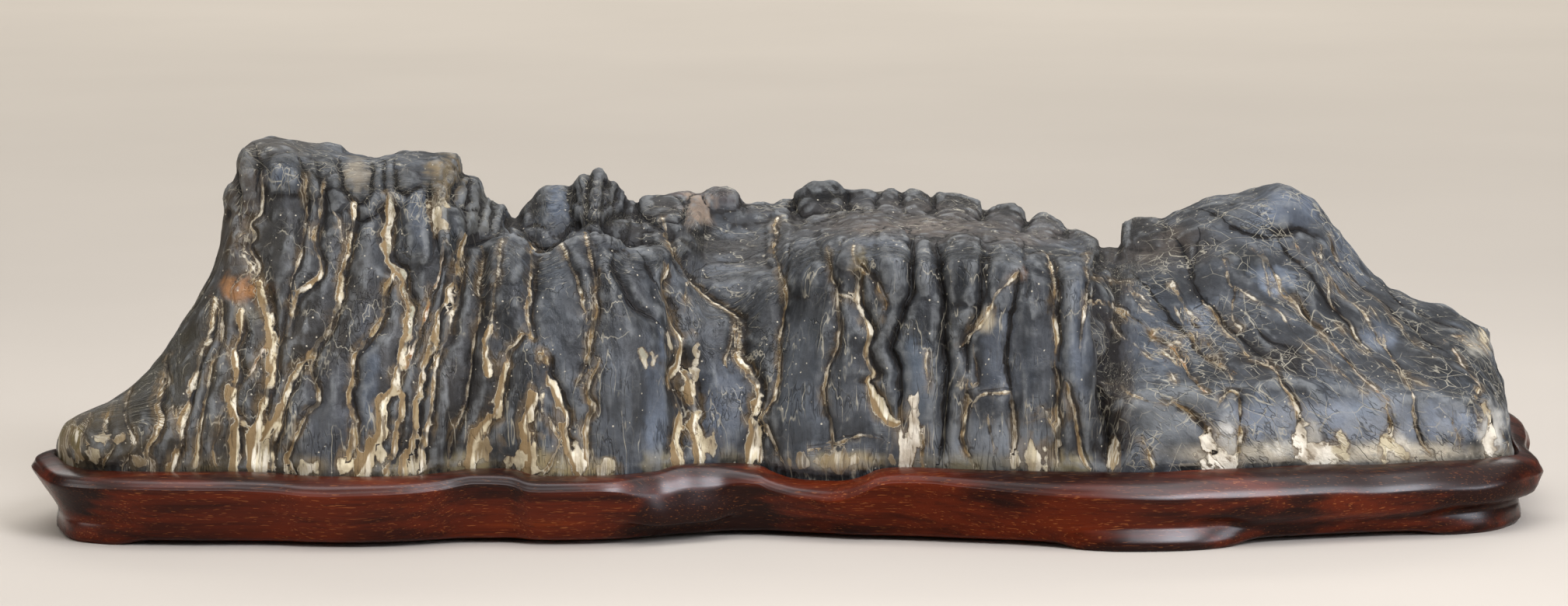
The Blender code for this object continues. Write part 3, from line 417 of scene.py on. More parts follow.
# The stone, in mm: the skyline as (u, v), and at chosen u five (v, depth) points and the skyline's depth.
stone = {
    "skyline": [
        (-252.5, 20), (-251.5, 23), (-250, 26), (-248, 28.5), (-245, 30.5), (-240, 32.5), (-235, 34.5),
        (-232, 36.5), (-229, 38), (-225, 41), (-222, 43.5), (-218, 48), (-215, 52), (-210, 60), (-204, 70),
        (-199, 80), (-196, 90), (-195.3, 96), (-194.2, 101), (-194.3, 105), (-193, 108), (-191, 110),
        (-190, 115), (-188.8, 120), (-188, 123), (-186, 124), (-184, 125), (-181, 126.3), (-178, 127),
        (-175, 126.3), (-168, 125.5), (-162, 124.5), (-158, 124.8), (-154, 123.5), (-151.5, 121),
        (-148, 120.2), (-143, 120), (-141.5, 119), (-139, 120.3), (-135.5, 120.5), (-133, 121.7),
        (-128, 121.9), (-121, 121.5), (-117, 120), (-114, 118), (-113.5, 111.4), (-110, 110.2),
        (-107.5, 109), (-106.5, 106.4), (-106, 101.2), (-103, 100.8), (-101.5, 99.4), (-99, 99.8),
        (-97.5, 98.2), (-96, 95), (-95, 95.4), (-93.4, 98.4), (-91, 101.2), (-88, 103), (-85, 106.8),
        (-83.6, 108), (-79, 108.2), (-76.2, 108.8), (-75.2, 108.4), (-74.4, 109.2), (-72.6, 110),
        (-72, 112), (-69, 112.2), (-68.4, 111), (-68.2, 112.6), (-67.6, 113), (-64, 113), (-62.9, 112.4),
        (-62.5, 108.8), (-61.8, 109), (-59.2, 108.8), (-58.8, 106.4), (-57.6, 106.6), (-56.2, 105),
        (-55.6, 102.6), (-54, 102.8), (-52.8, 102.4), (-52.2, 102), (-51, 104.2), (-49, 105.6),
        (-45, 105.6), (-41, 106.5), (-37, 107.5), (-30, 107.5), (-28, 109), (-24, 109.5), (-21, 108.7),
        (-17, 108.5), (-15.5, 104.7), (-11, 104.2), (-5, 103.7), (0, 104.8), (2, 104), (3.5, 106),
        (5, 107.4), (7, 109.2), (9, 110.8), (15, 110.7), (17.5, 110), (19, 109), (28, 108.5), (30, 107.5),
        (38, 107.5), (39, 106.5), (42, 107.4), (45, 106.8), (47, 104.4), (49.5, 103.6), (51.5, 106.3),
        (55, 106.8), (58, 106.3), (61, 104.2), (64, 104.2), (66, 104.3), (67.5, 102), (69, 101.3),
        (74, 102.8), (77, 102.8), (80, 100.4), (81, 98), (82.5, 97.3), (86, 100), (88, 100), (91, 97.4),
        (95, 95.6), (100, 94), (103, 92.7), (106, 91.3), (107.2, 88.5), (114, 88.3), (115.3, 88.7),
        (115.8, 95.5), (117, 97), (120, 98), (123, 99), (126, 99), (129, 98.5), (131, 99.5), (134, 100.8),
        (138, 101.6), (142, 101.8), (145, 102.7), (149, 103), (152, 102.5), (156, 103.2), (160, 104.9),
        (165, 108), (169, 110.4), (172, 110), (174, 109), (177, 106), (180, 105.3), (182, 104),
        (183.5, 101.5), (185, 100), (187, 96.5), (189, 95.5), (191, 92), (194, 89), (197, 85.5), (199, 82),
        (202, 78.8), (204, 77.5), (207, 74.5), (210, 74), (215, 71), (219, 70), (225, 69), (228, 67.2),
        (231, 65), (237, 61.8), (240.6, 61), (242.6, 58.4), (242.3, 52), (243.4, 46), (245.8, 41.8),
        (246.8, 38.4), (248, 31), (249, 24), (250.5, 18.6),
    ],
    "profiles": [
        (-252.4, [(18.8, -48), (19.2, -48), (19.5, -48), (19.8, -48), (20, -48)], -48),
        (-250, [(18, -57), (20, -59), (22.5, -59), (25, -57), (27, -54)], -51),
        (-245, [(18, -67), (22, -67), (26, -65), (29.5, -62), (32, -57)], -51),
        (-238, [(18, -72), (23, -71), (28, -67), (33, -62), (36, -57)], -50),
        (-225, [(19, -74), (27, -71), (34, -66), (39, -60), (42.5, -54)], -46),
        (-212, [(22, -74), (33, -69), (43, -62), (51, -54), (56, -46)], -40),
        (-203, [(25, -74), (40, -68), (55, -60), (65, -51), (70, -43)], -37),
        (-196, [(28, -73), (46, -66), (64, -57), (78, -47), (86, -38)], -31),
        (-190, [(30, -73), (50, -65), (72, -54), (95, -43), (109, -34)], -24),
        (-187, [(30, -72), (52, -64), (76, -52), (100, -41), (118, -34)], -15),
        (-175, [(30, -73), (52, -65), (76, -54), (102, -41), (120.5, -33)], -4),
        (-160, [(30, -74), (50, -67), (72, -57), (97, -44), (115, -34)], -3),
        (-148, [(30, -75), (50, -68), (72, -58), (95, -46), (113, -34)], -4),
        (-135, [(30, -74), (50, -67), (72, -57), (95, -46), (116, -33)], -8),
        (-120, [(30, -72), (50, -65), (72, -56), (95, -45), (115, -33)], -12),
        (-114.5, [(28, -70), (48, -64), (68, -56), (88, -46), (108, -33)], -18),
        (-106, [(28, -70), (48, -65), (68, -57), (86, -45), (97, -32)], -20),
        (-97, [(28, -71), (48, -66), (70, -58), (91, -44), (94, -34)], -16),
        (-93, [(28, -71), (48, -67), (72, -58), (92, -43), (88, -28)], 0),
        (-85, [(28, -72), (48, -68), (70, -59), (87, -45), (82, -26)], 5),
        (-66, [(28, -71), (48, -67), (72, -58), (94, -42), (88, -24)], 4),
        (-56, [(28, -69), (48, -66), (70, -56), (88, -42), (85, -22)], 8),
        (-45, [(28, -64), (46, -61), (66, -53), (86, -39), (91, -14)], 15),
        (-38, [(28, -60), (44, -55), (62, -46), (80, -33), (93, -10)], 20),
        (-28, [(28, -57), (44, -51), (58, -43), (72, -31), (95, 6)], 24),
        (-15, [(28, -57), (42, -51), (58, -42), (74, -29), (95, 9)], 25),
        (-4, [(28, -58), (44, -52), (62, -42), (80, -28), (95.5, 9)], 25),
        (5, [(28, -60), (46, -56), (66, -48), (84, -36), (98, 13)], 27),
        (15, [(28, -63), (48, -60), (70, -54), (89, -43), (99, 14)], 28),
        (30, [(28, -65), (48, -63), (70, -58), (92, -46), (102, 16)], 30),
        (45, [(30, -67), (50, -64), (72, -59), (90, -47), (100.4, 16)], 30),
        (60, [(30, -69), (50, -66), (72, -61), (91, -48), (99.2, 15)], 30),
        (75, [(30, -71), (50, -68), (72, -63), (90, -49), (96.2, 13)], 28),
        (88, [(30, -73), (50, -70), (70, -65), (85, -52), (93.6, 11)], 26),
        (98, [(30, -74), (50, -71), (70, -66), (84, -53), (90.6, 6)], 22),
        (106, [(30, -74), (48, -71), (68, -66), (83, -53), (88, -22)], 15),
        (109, [(30, -74), (46, -69), (64, -60), (78, -45), (84, -22)], 8),
        (113, [(32, -74), (42, -68), (58, -50), (74, -32), (83, -14)], 6),
        (120, [(34, -74), (42, -67), (58, -49), (75, -31), (86, -10)], 16),
        (130, [(35, -73), (43, -66), (60, -47), (77, -29), (90, -10)], 9),
        (145, [(36, -71), (44, -65), (62, -46), (82, -26), (96, -9)], 6),
        (160, [(37, -69), (45, -63), (64, -44), (84, -25), (100, -8)], 5),
        (170, [(38, -66), (46, -61), (64, -43), (86, -23), (103, -6)], 5),
        (180, [(38, -64), (46, -58), (64, -41), (84, -22), (98, -6)], 6),
        (188, [(37, -62), (45, -56), (62, -39), (80, -21), (91, -6)], 7),
        (198, [(36, -60), (43, -54), (58, -38), (71, -20), (78, -5)], 8),
        (210, [(34, -58), (41, -52), (54, -36), (65, -18), (71, -3)], 10),
        (225, [(34, -55), (40, -49), (51, -33), (61, -14), (66, 0)], 12),
        (237, [(34, -50), (39, -44), (48, -29), (56, -10), (60, 2)], 13),
        (242, [(33, -46), (38, -40), (44, -26), (50, -8), (54, 3)], 14),
        (247, [(28, -40), (31, -34), (34, -22), (36, -6), (38, 4)], 13),
        (250.4, [(18.2, -30), (18.4, -24), (18.5, -16), (18.5, -8), (18.5, -2)], 4),
    ],
    "buttresses": [(19.0, 0.09, 0.0), (8.3, 0.06, 1.7)],  # waves in the back's fullness
    "backFoot": 25.0,  # height of the back's foot
    "backDepth": 3.0,  # the least depth from the crest to the back
    "backRails": [(0.28, 0.94), (0.6, 0.74), (0.85, 0.42), (0.97, 0.16), (1.0, 0.0)],  # how far out, how high
    "stationStep": 1.3,  # from one section to the next, counted along the lines' own travel
    "stationSpread": 1.6,  # which is divided by this
    "sectionCuts": 9,  # steps from one line of a section to the next
    "voxel": 1.41,  # upright; across it is finer by the stretch, because the furrows are upright
    "stretch": 1.5,
    "backFacing": -0.15,  # what turns further from the eye than this is thinned
    "backShare": 0.4,  # of the back's faces, after thinning
    "underside": 1.1,  # the flat underside reaches this far above the recess floor
    "undersideShare": 0.03,
    "seatGap": 0.5,
    "wallGap": 0.7,
    "cut": 1.45,  # scales the depth of every furrow
    "margin": 12.0,  # how far from it a line is felt
    "slantFrom": (98, 122),  # over this stretch of u the ribs turn from upright to slanting
    "crownFrom": (88, 102),  # over this stretch of v the sides grow knobby
    "relief": {  # how far each kind of lump stands out, in mm
        "ribs": 0.8, "coarse": 0.5, "wrinkles": 0.3, "fine": 0.08, "knobbyTop": 0.6, "smallTop": 0.3,
        "coarseTop": 0.4, "crown": 0.3, "rightRibs": 0.35, "gap": 0.6,
    },
    "lumpSize": {  # how wide each kind is, in mm
        "ribs": 8, "fineRibs": 3.6, "wrinkles": 3.4, "coarse": 22, "middling": 10, "fine": 3.2,
        "knobby": 12.0, "small": 5.5,
    },
    "knobby": [  # how knobby the tops are, by u
        (-235, 0), (-200, 0.1), (-190, 0.4), (-150, 0.5), (-118, 0.8), (-100, 0.9), (-92, 0.4), (-70, 1),
        (-57, 1), (-45, 0.5), (0, 0.8), (95, 0.7), (110, 0.15), (140, 0.4), (175, 0.4), (190, 0.2),
        (245, 0.25),
    ],
    "rimFade": 5.0,  # the relief fades in over this height above the rim
    "back": {  # its furrows and veins, laid out by chance
        "from": -226.0, "to": 240, "apart": (8, 17), "top": 128, "drop": 14.5, "bends": 9, "wander": 4.5,
        "fills": ["cream", "tan", "tan", "rust", "none", "none"], "halfWidths": [0.4, 0.6, 0.9, 1.4],
        "depths": (1.6, 4.6), "widths": (1.8, 2.6), "branching": 0.55, "seeping": 0.6,
    },
    "seed": 11,  # another number lays the back out anew
    "smoothing": 0.5,
    "wornAt": 0.35,  # what stands out this many mm is worn pale
}


def frontAndBack(line, x):  # the rim line's y along the front and along the back, at each x
    turned = np.roll(line, -int(np.argmin(line[:, 0])), axis=0)
    right = int(np.argmax(turned[:, 0]))
    back = np.concatenate([turned[right:], turned[:1]])[::-1]
    return np.interp(x, turned[: right + 1, 0], turned[: right + 1, 1]), np.interp(x, back[:, 0], back[:, 1])


def stoneSections(line):  # closed sections from the toe to the right end
    keys, rows, crests = zip(*stone["profiles"])
    fine = np.arange(stone["skyline"][0][0] + 0.1, stone["skyline"][-1][0], 0.1)
    rails = [np.interp(fine, *zip(*stone["skyline"])), curveThrough(keys, crests, fine), fine]
    rails += [curveThrough(keys, [row[3][k] for row in rows], fine) for k in (0, 1)]
    travel = sum(np.abs(np.diff(rail)) for rail in rails) / stone["stationSpread"]  # steep parts get more
    length = np.concatenate([[0], np.cumsum(travel)])
    stations = np.interp(np.arange(0, length[-1], stone["stationStep"]), length, fine)
    skyHeight = np.interp(stations, *zip(*stone["skyline"]))
    crest = toSpace(stations, skyHeight, curveThrough(keys, crests, stations))
    rails = []
    for k in range(5):
        v = curveThrough(keys, [row[k][0] for row in rows], stations)
        y = curveThrough(keys, [row[k][1] for row in rows], stations)
        rails.append(toSpace(stations, np.minimum(v, skyHeight), y))
    rimU, rimV, rimY = (np.array(column, float) for column in zip(*stand["rimFront"]))
    rimRail = toSpace(stations, np.interp(stations, rimU, rimV), np.interp(stations, rimU, rimY))
    rimRail[:, 1] = np.maximum(rimRail[:, 1], frontAndBack(line, rimRail[:, 0])[0])
    backX = crest[:, 0]
    backY = np.maximum(frontAndBack(line, backX)[1], crest[:, 1] + stone["backDepth"])
    rise = crest[:, 2] - stone["backFoot"]
    buttress = sum(size * np.sin(backX / wave + phase) for wave, size, phase in stone["buttresses"])

    def backRail(share, height):
        swell = 4.0 * share * (1 - share) * buttress
        y = crest[:, 1] + (backY - crest[:, 1]) * (share + swell)
        return np.column_stack([backX, y, stone["backFoot"] + rise * (height + 0.6 * swell)])

    bottom = stand["recessFloor"] + stone["seatGap"]
    frontFoot = rimRail + (0, 1.0, 0)
    backFoot = backRail(0.97, 0)
    frontFoot[:, 2] = backFoot[:, 2] = bottom
    behind = [backRail(share, height) for share, height in stone["backRails"]]
    loops = [frontFoot, rimRail, *rails, crest, *behind, backFoot]
    return np.swapaxes(roundedLine(np.array(loops), stone["sectionCuts"]), 0, 1)


# What fills a line.
tones = {
    "cream": "#dccfae", "white": "#f2ead8", "tan": "#a99672", "rust": "#9a6234", "olive": "#74673f",
    "pale": "#a9a58f",
}

# Lines of the front: what fills each, half its width, its furrow's depth and width, and its (u, v) points.
frontLines = [
    # the toe and the left slope
    ("tan", 0.7, 2.2, 2.0, [(-214, 52), (-217.5, 38), (-217, 30), (-218.5, 25), (-221, 20), (-220.5, 12)]),
    ("tan", 0.3, 0.9, 1.2, [(-214.5, 52), (-213, 36), (-210.5, 26)]),
    ("tan", 0.3, 0.7, 1.0, [(-226, 40), (-229, 30), (-226, 22), (-229, 12)]),
    ("olive", 0.5, 0.8, 1.2, [(-233, 35), (-236, 28), (-232, 20), (-236, 13)]),
    ("tan", 0.3, 0.6, 1.0, [(-240, 31), (-243, 24), (-240, 18)]),
    # the summit's ribs
    ("cream", 0.8, 2.4, 2.0, [(-197.5, 71), (-200, 60), (-205, 48), (-207, 41), (-208.5, 32), (-209.5, 25),
                              (-211, 17), (-212.5, 12)]),
    ("cream", 0.6, 2.0, 1.8, [(-195.5, 71), (-196, 58), (-198.5, 50), (-200, 43), (-203, 28), (-205, 13)]),
    ("tan", 0.35, 0.9, 1.2, [(-193, 38), (-198, 20), (-197, 12)]),
    ("cream", 1.5, 2.8, 2.0, [(-188, 66), (-189, 58), (-190.5, 54), (-190, 46), (-192.5, 40), (-192, 34),
                              (-189, 28), (-191, 22), (-190.5, 12)]),
    ("cream", 1.6, 3.2, 2.2, [(-182, 76), (-180, 62), (-178, 49), (-179, 42), (-182, 32), (-184.5, 20),
                              (-184, 12)]),
    ("cream", 1.2, 1.6, 1.6, [(-174, 36), (-178, 28), (-182, 21)]),
    ("rust", 0.6, 1.2, 1.4, [(-179, 60), (-183, 50), (-187, 43)]),
    ("cream", 0.4, 2.0, 1.8, [(-181, 112), (-181, 105), (-181.5, 101), (-185.5, 97.5), (-184, 94),
                              (-184.5, 91), (-185.8, 88), (-182.5, 82), (-185.3, 77)]),
    ("cream", 0.4, 1.0, 1.2, [(-188, 93), (-190.3, 90), (-187.5, 85), (-184.5, 81.5), (-189, 77.5),
                              (-192, 74), (-191, 69)]),
    ("tan", 0.4, 2.2, 2.0, [(-166.5, 114), (-166.5, 96), (-169, 85), (-171.5, 73), (-175, 60), (-178, 50)]),
    ("tan", 0.7, 2.6, 2.0, [(-160, 112), (-162.5, 98), (-163.5, 92), (-161.5, 81), (-165, 77), (-168, 74),
                            (-170, 70), (-173.5, 59)]),
    ("white", 0.5, 0.9, 1.2, [(-157, 100.5), (-155, 97), (-154.5, 92)]),
    ("cream", 0.9, 3.6, 2.2, [(-150, 105), (-150, 97), (-151.5, 90), (-153, 84), (-154, 78), (-156, 72),
                              (-158, 65), (-160, 60), (-163, 56), (-167, 51), (-171, 45), (-173, 40),
                              (-175, 35), (-178, 22), (-178, 12)]),
    ("tan", 0.6, 2.4, 2.0, [(-163, 57), (-165, 48), (-163, 38), (-163, 35), (-166, 31), (-170, 24),
                            (-172, 16), (-170, 11)]),
    ("pale", 1.6, 3.6, 2.6, [(-138, 106), (-138, 100), (-138.5, 93), (-138, 87), (-136, 83), (-133, 80),
                             (-132.5, 75), (-130.5, 70), (-131, 60)]),
    ("tan", 0.8, 3.0, 2.2, [(-136, 80), (-139, 73), (-139, 68), (-141, 63), (-145, 58), (-149, 52),
                            (-151, 42), (-151.5, 38), (-150, 30), (-150, 22), (-152, 17), (-153, 12)]),
    ("cream", 1.7, 2.8, 2.4, [(-131, 58), (-135, 45), (-138.5, 38), (-141, 34), (-140, 28), (-141, 23),
                              (-144, 18), (-147, 12)]),
    ("tan", 0.9, 2.4, 2.0, [(-135, 40), (-132.5, 36), (-134, 28), (-135, 19), (-138, 10.5)]),
    ("rust", 0.8, 2.4, 2.0, [(-119.5, 90), (-119.5, 84), (-123, 75), (-123.5, 70), (-127, 60), (-129, 53),
                             (-131, 47)]),
    ("tan", 1.3, 3.8, 2.4, [(-110, 93), (-112, 88), (-114, 83), (-116, 76), (-117.5, 70), (-121, 63),
                            (-124, 50), (-127, 38), (-129, 28), (-129, 22), (-133, 11)]),
    ("tan", 0.7, 2.4, 1.8, [(-111, 87), (-113, 78), (-115, 68), (-120, 52), (-122, 35), (-125.5, 22),
                            (-128, 11)]),
    # the second mass
    ("tan", 0.4, 3.0, 2.4, [(-105, 88), (-106.5, 72), (-109, 57), (-111, 40), (-114, 28), (-116, 20),
                            (-117, 13)]),
    ("pale", 0.4, 1.0, 1.6, [(-98, 90), (-101, 72), (-105, 56)]),
    ("cream", 1.3, 0.6, 1.6, [(-103, 61), (-103.5, 52), (-103, 45)]),
    ("tan", 0.8, 3.2, 2.2, [(-88, 90), (-87.5, 84), (-90, 70), (-90, 64), (-88, 58)]),
    ("cream", 0.8, 2.0, 1.8, [(-88, 58), (-91, 59), (-95, 56), (-98, 52), (-97, 48)]),
    ("cream", 1.3, 2.6, 2.0, [(-98, 48), (-100, 36), (-101, 32), (-104, 29), (-107, 24), (-109.5, 13)]),
    ("cream", 1.9, 1.4, 2.0, [(-87, 37), (-91, 27), (-90, 22), (-89, 12)]),
    ("cream", 1.2, 2.6, 2.0, [(-84, 52), (-83, 44), (-80, 39), (-76, 29), (-77.5, 26), (-75, 17), (-73, 13)]),
    ("tan", 0.5, 1.0, 1.4, [(-82, 29), (-79, 20), (-84, 11)]),
    ("tan", 0.6, 3.4, 2.4, [(-70, 93), (-67, 83), (-66, 78), (-67, 72), (-66, 67), (-67, 60), (-69, 53),
                            (-71, 47), (-72, 42)]),
    ("tan", 0.6, 2.4, 2.0, [(-66, 50), (-69, 38), (-68, 33), (-69.5, 28), (-70, 20), (-69.5, 14)]),
    ("pale", 0.5, 2.4, 2.0, [(-79, 90), (-74, 81), (-71.5, 70), (-69, 63)]),
    ("none", 0, 2.2, 2.0, [(-60, 87), (-58, 78), (-54, 69), (-45, 62)]),
    ("none", 0, 1.6, 1.8, [(-52, 86), (-47, 80), (-43, 74)]),
    ("none", 0, 2.4, 1.1, [(-75.2, 112), (-75.2, 104), (-76.5, 94)]),
    ("none", 0, 1.6, 0.9, [(-72.3, 114), (-71, 108), (-70.6, 104)]),
    ("none", 0, 2.4, 1.0, [(-68.4, 117), (-68.4, 110), (-69.4, 102), (-70.6, 95)]),
    ("none", 0, 2.2, 1.0, [(-62.7, 116), (-63.0, 110), (-63.6, 104), (-64.8, 96)]),
    ("none", 0, 1.6, 0.9, [(-68, 109.4), (-65.5, 108.8), (-63.4, 109.4)]),
    ("none", 0, 1.6, 0.9, [(-74, 104.4), (-71.5, 103.6), (-69, 104.6)]),
    ("none", 0, 1.6, 0.9, [(-68.8, 102), (-66, 101), (-63.6, 102.2), (-60.4, 104), (-58.8, 103)]),
    ("none", 0, 1.8, 0.9, [(-75.4, 98), (-72.4, 96.4), (-69.6, 97.6), (-66, 95.4), (-62, 96.2)]),
    ("none", 0, 1.8, 0.9, [(-58.8, 112), (-58.9, 105), (-59.4, 97)]),
    ("none", 0, 1.8, 0.9, [(-55.9, 108), (-55.8, 102), (-56.4, 99)]),
    ("none", 0, 2.0, 1.1, [(-52.4, 106), (-52, 102), (-50, 99)]),
    # round the boulders below the peak and behind the saddle's knobs
    ("none", 0, 3.0, 1.5, [(-62, 90), (-62.4, 95), (-60, 99.4), (-55, 100.4), (-50, 98), (-44, 94.5),
                           (-40, 93)]),
    ("none", 0, 2.4, 1.3, [(-52, 98), (-46, 96), (-40, 96.5), (-36, 98), (-35.6, 103)]),
    ("none", 0, 2.6, 1.2, [(-15.4, 110), (-15.2, 106), (-14.8, 102)]),
    ("none", 0, 2.2, 1.2, [(-29.8, 110), (-30, 107.5)]),
    ("none", 0, 3.2, 1.4, [(0.5, 108), (2, 103), (5, 99.6), (12, 99.4), (19, 101.6), (21.4, 106), (21, 110)]),
    ("none", 0, 2.4, 1.2, [(31, 110), (31.2, 106), (30, 103)]),
    ("none", 0, 2.8, 1.2, [(39.2, 109), (39.4, 105), (38.6, 102)]),
    ("none", 0, 2.8, 1.2, [(49.4, 108), (50, 103.6), (51, 100.4)]),
    ("none", 0, 3.4, 1.3, [(68, 106), (68.2, 101), (67, 98)]),
    ("none", 0, 3.4, 1.3, [(82.6, 102), (82.8, 97.6), (81, 95)]),
    ("none", 0, 2.4, 1.2, [(96.4, 98), (97, 94), (96, 92)]),
    ("none", 0, 3.0, 1.4, [(106.6, 93), (107.4, 89)]),
    # the steps down from the summit, and the cracks between its knobs
    ("none", 0, 2.6, 1.1, [(-113.7, 116), (-113.8, 110), (-114.6, 104)]),
    ("none", 0, 2.4, 1.0, [(-109.9, 114), (-110.2, 108), (-110.4, 100)]),
    ("none", 0, 2.6, 1.1, [(-106.3, 112), (-106.4, 106), (-106.6, 99)]),
    ("none", 0, 2.4, 1.1, [(-101.7, 105), (-101.8, 99), (-103, 94)]),
    ("none", 0, 2.6, 1.1, [(-96.6, 101), (-97, 97), (-98, 94)]),
    ("none", 0, 1.8, 1.2, [(-194, 118), (-189.6, 112), (-190, 104), (-189, 98)]),
    ("none", 0, 2.4, 1.3, [(-183.6, 124), (-182, 117), (-183, 108)]),
    ("none", 0, 2.2, 1.2, [(-167.6, 120), (-166.8, 113), (-168.4, 106)]),
    ("none", 0, 1.8, 1.0, [(-162.6, 119), (-161.6, 112), (-159, 107), (-158, 101)]),
    ("none", 0, 2.0, 1.1, [(-154.4, 119), (-153.4, 112), (-152.4, 107), (-148, 104), (-144, 107)]),
    ("none", 0, 1.8, 0.9, [(-143.4, 118), (-143.6, 110), (-144.4, 106)]),
    ("none", 0, 1.8, 0.9, [(-139.4, 119), (-139.4, 111), (-138.6, 106)]),
    ("none", 0, 2.0, 1.0, [(-135.6, 118), (-135.2, 110), (-131, 107), (-126.6, 110)]),
    ("none", 0, 2.0, 1.2, [(-122.6, 112), (-123.4, 102), (-122, 92), (-120, 86)]),
    ("none", 0, 2.2, 1.2, [(-152, 101), (-147.4, 97.4), (-142.4, 99.6), (-139.6, 103)]),
    # behind the second mass's top edge, and behind the tops of the columns
    ("none", 0, 3.4, 2.6, [(-113, 89), (-105, 92), (-101, 93.5), (-98, 96), (-95, 97), (-91, 95.5),
                           (-89, 92.5), (-84, 89.5), (-79, 91.5), (-77, 95.5), (-73, 97), (-67, 98),
                           (-63, 97), (-60, 91.5), (-53, 90.5), (-48, 91), (-43, 89.5), (-40, 87),
                           (-37, 83), (-33, 79), (-30, 76)]),
    ("none", 0, 1.7, 2.2, [(29, 93), (33, 96.5), (41, 96.5), (44, 93.5), (47, 92.5), (50, 92.5), (54, 93),
                           (58, 95), (64, 94.5), (67, 91.5), (72, 92.5), (80, 91.5), (83, 88.5), (90, 87.5),
                           (101, 86)]),
    # the recessed middle
    ("cream", 1.0, 3.0, 2.2, [(-41, 82), (-41.5, 73), (-40, 70), (-38, 60), (-37, 56)]),
    ("cream", 1.2, 4.0, 2.6, [(-37, 56), (-36, 50), (-38, 44), (-35.5, 32), (-38, 20), (-37.5, 14)]),
    ("cream", 1.3, 2.6, 2.2, [(-34, 48), (-32, 34), (-31, 22), (-30, 16)]),
    ("cream", 0.7, 4.2, 2.2, [(-43, 97), (-41, 92), (-38, 87), (-34, 83), (-31, 76), (-28, 72), (-22, 69),
                              (-18, 66), (-16.5, 63), (-16, 58)]),
    ("tan", 0.4, 1.2, 1.4, [(-34, 76), (-36, 67)]),
    ("none", 0, 1.0, 1.0, [(-4, 90), (-17, 85), (-31, 81.5)]),
    ("cream", 1.1, 3.4, 2.2, [(-16, 60), (-17, 52), (-14, 46), (-11, 41), (-12, 30), (-11, 24), (-14, 15)]),
    ("tan", 0.5, 1.0, 1.4, [(-11, 24), (-9.5, 15)]),
    ("tan", 0.5, 2.0, 1.8, [(-18, 62), (-21, 50), (-19, 46)]),
    ("tan", 0.6, 2.2, 2.0, [(-4, 98), (-4.5, 84), (-1.5, 74), (-3, 58), (-5, 40), (-9, 30)]),
    ("tan", 0.5, 1.6, 1.6, [(-9, 30), (-5, 20), (-1, 14)]),
    # the middle's columns
    ("tan", 0.35, 2.4, 2.2, [(13, 88), (14, 80), (16, 74), (16.5, 60), (14, 48), (12, 36), (16, 20)]),
    ("tan", 0.3, 0.8, 1.2, [(16.5, 73), (23, 69.5)]),
    ("cream", 0.7, 1.8, 2.0, [(22.6, 88.5), (23, 84), (25.6, 80), (30, 76), (33, 71)]),
    ("cream", 1.0, 3.6, 2.2, [(23, 84), (23, 70), (25, 66), (28, 60), (25.5, 55), (27, 50), (29.5, 45),
                              (27, 42), (30, 35), (34, 29), (37, 28)]),
    ("tan", 0.4, 1.2, 1.4, [(30, 76), (34, 69), (33, 63)]),
    ("none", 0, 3.2, 1.2, [(43.5, 92), (41, 70), (39, 61), (36, 55), (36.5, 52), (38, 48), (38, 40),
                           (38, 29)]),
    ("none", 0, 4.2, 1.4, [(51, 92), (53, 70), (54, 50), (54, 32), (52, 14)]),
    ("tan", 0.3, 1.0, 1.2, [(48, 52), (48, 39)]),
    ("tan", 0.6, 1.2, 1.4, [(46, 26), (47, 12)]),
    ("none", 0, 2.8, 1.3, [(66.5, 91), (66, 72), (61, 56), (62, 46)]),
    ("tan", 0.4, 1.6, 1.6, [(64, 54), (66, 42), (63, 40)]),
    ("cream", 0.5, 2.6, 2.0, [(62, 42), (61, 34), (60, 22), (63, 13)]),
    ("cream", 0.4, 0.9, 1.2, [(60, 40), (63, 35), (66, 37), (76, 38.5)]),
    ("tan", 0.5, 0.8, 1.4, [(79, 79), (74, 74), (70, 68), (66, 62), (62, 58), (60, 55)]),
    ("cream", 0.9, 0.4, 1.4, [(70.5, 69), (68, 65), (64, 61)]),
    ("none", 0, 2.2, 1.2, [(80, 80), (76, 62), (75, 48), (76, 38)]),
    ("tan", 0.4, 2.0, 1.8, [(76, 38), (78, 27), (77, 14)]),
    ("tan", 0.3, 0.9, 1.2, [(69, 30), (71, 19)]),
    ("cream", 0.7, 3.6, 2.2, [(89.5, 87), (90.5, 81), (91.5, 65), (92, 50)]),
    ("cream", 0.4, 2.6, 2.0, [(92, 50), (92.5, 35), (92, 20), (93, 13)]),
    ("cream", 0.35, 0.8, 1.2, [(88, 32), (93, 20)]),
    ("cream", 0.35, 0.8, 1.2, [(82, 28), (90, 31)]),
    ("white", 0.45, 2.4, 2.0, [(103.5, 87), (103.5, 84), (103, 70), (101, 54)]),
    ("tan", 0.5, 2.4, 2.0, [(95, 42), (98.5, 33), (99, 27), (102, 15), (103.5, 12)]),
    ("tan", 0.35, 0.8, 1.2, [(8, 19), (16, 20.5), (25, 23.5), (31, 22)]),
    # the right mass
    ("none", 0, 5.6, 3.2, [(107.5, 88), (108, 70), (109, 60), (111, 50), (110, 42), (109, 35), (110, 20),
                           (110, 12)]),
    ("tan", 0.35, 0.9, 1.4, [(108, 79), (118, 76)]),
    ("white", 0.45, 0.8, 1.2, [(117, 75), (122, 71), (125, 68)]),
    ("tan", 0.3, 0.6, 1.2, [(118, 74), (122, 67), (125, 65)]),
    ("tan", 0.45, 1.2, 1.6, [(108, 71), (114, 67), (120, 63), (130, 57)]),
    ("rust", 0.6, 2.2, 2.2, [(122, 62), (126, 58), (133, 54), (137, 48), (139, 45), (144, 39)]),
    ("tan", 0.3, 0.6, 1.2, [(128, 60), (140, 57)]),
    ("tan", 0.4, 0.9, 1.4, [(113, 43), (120, 38), (130, 35)]),
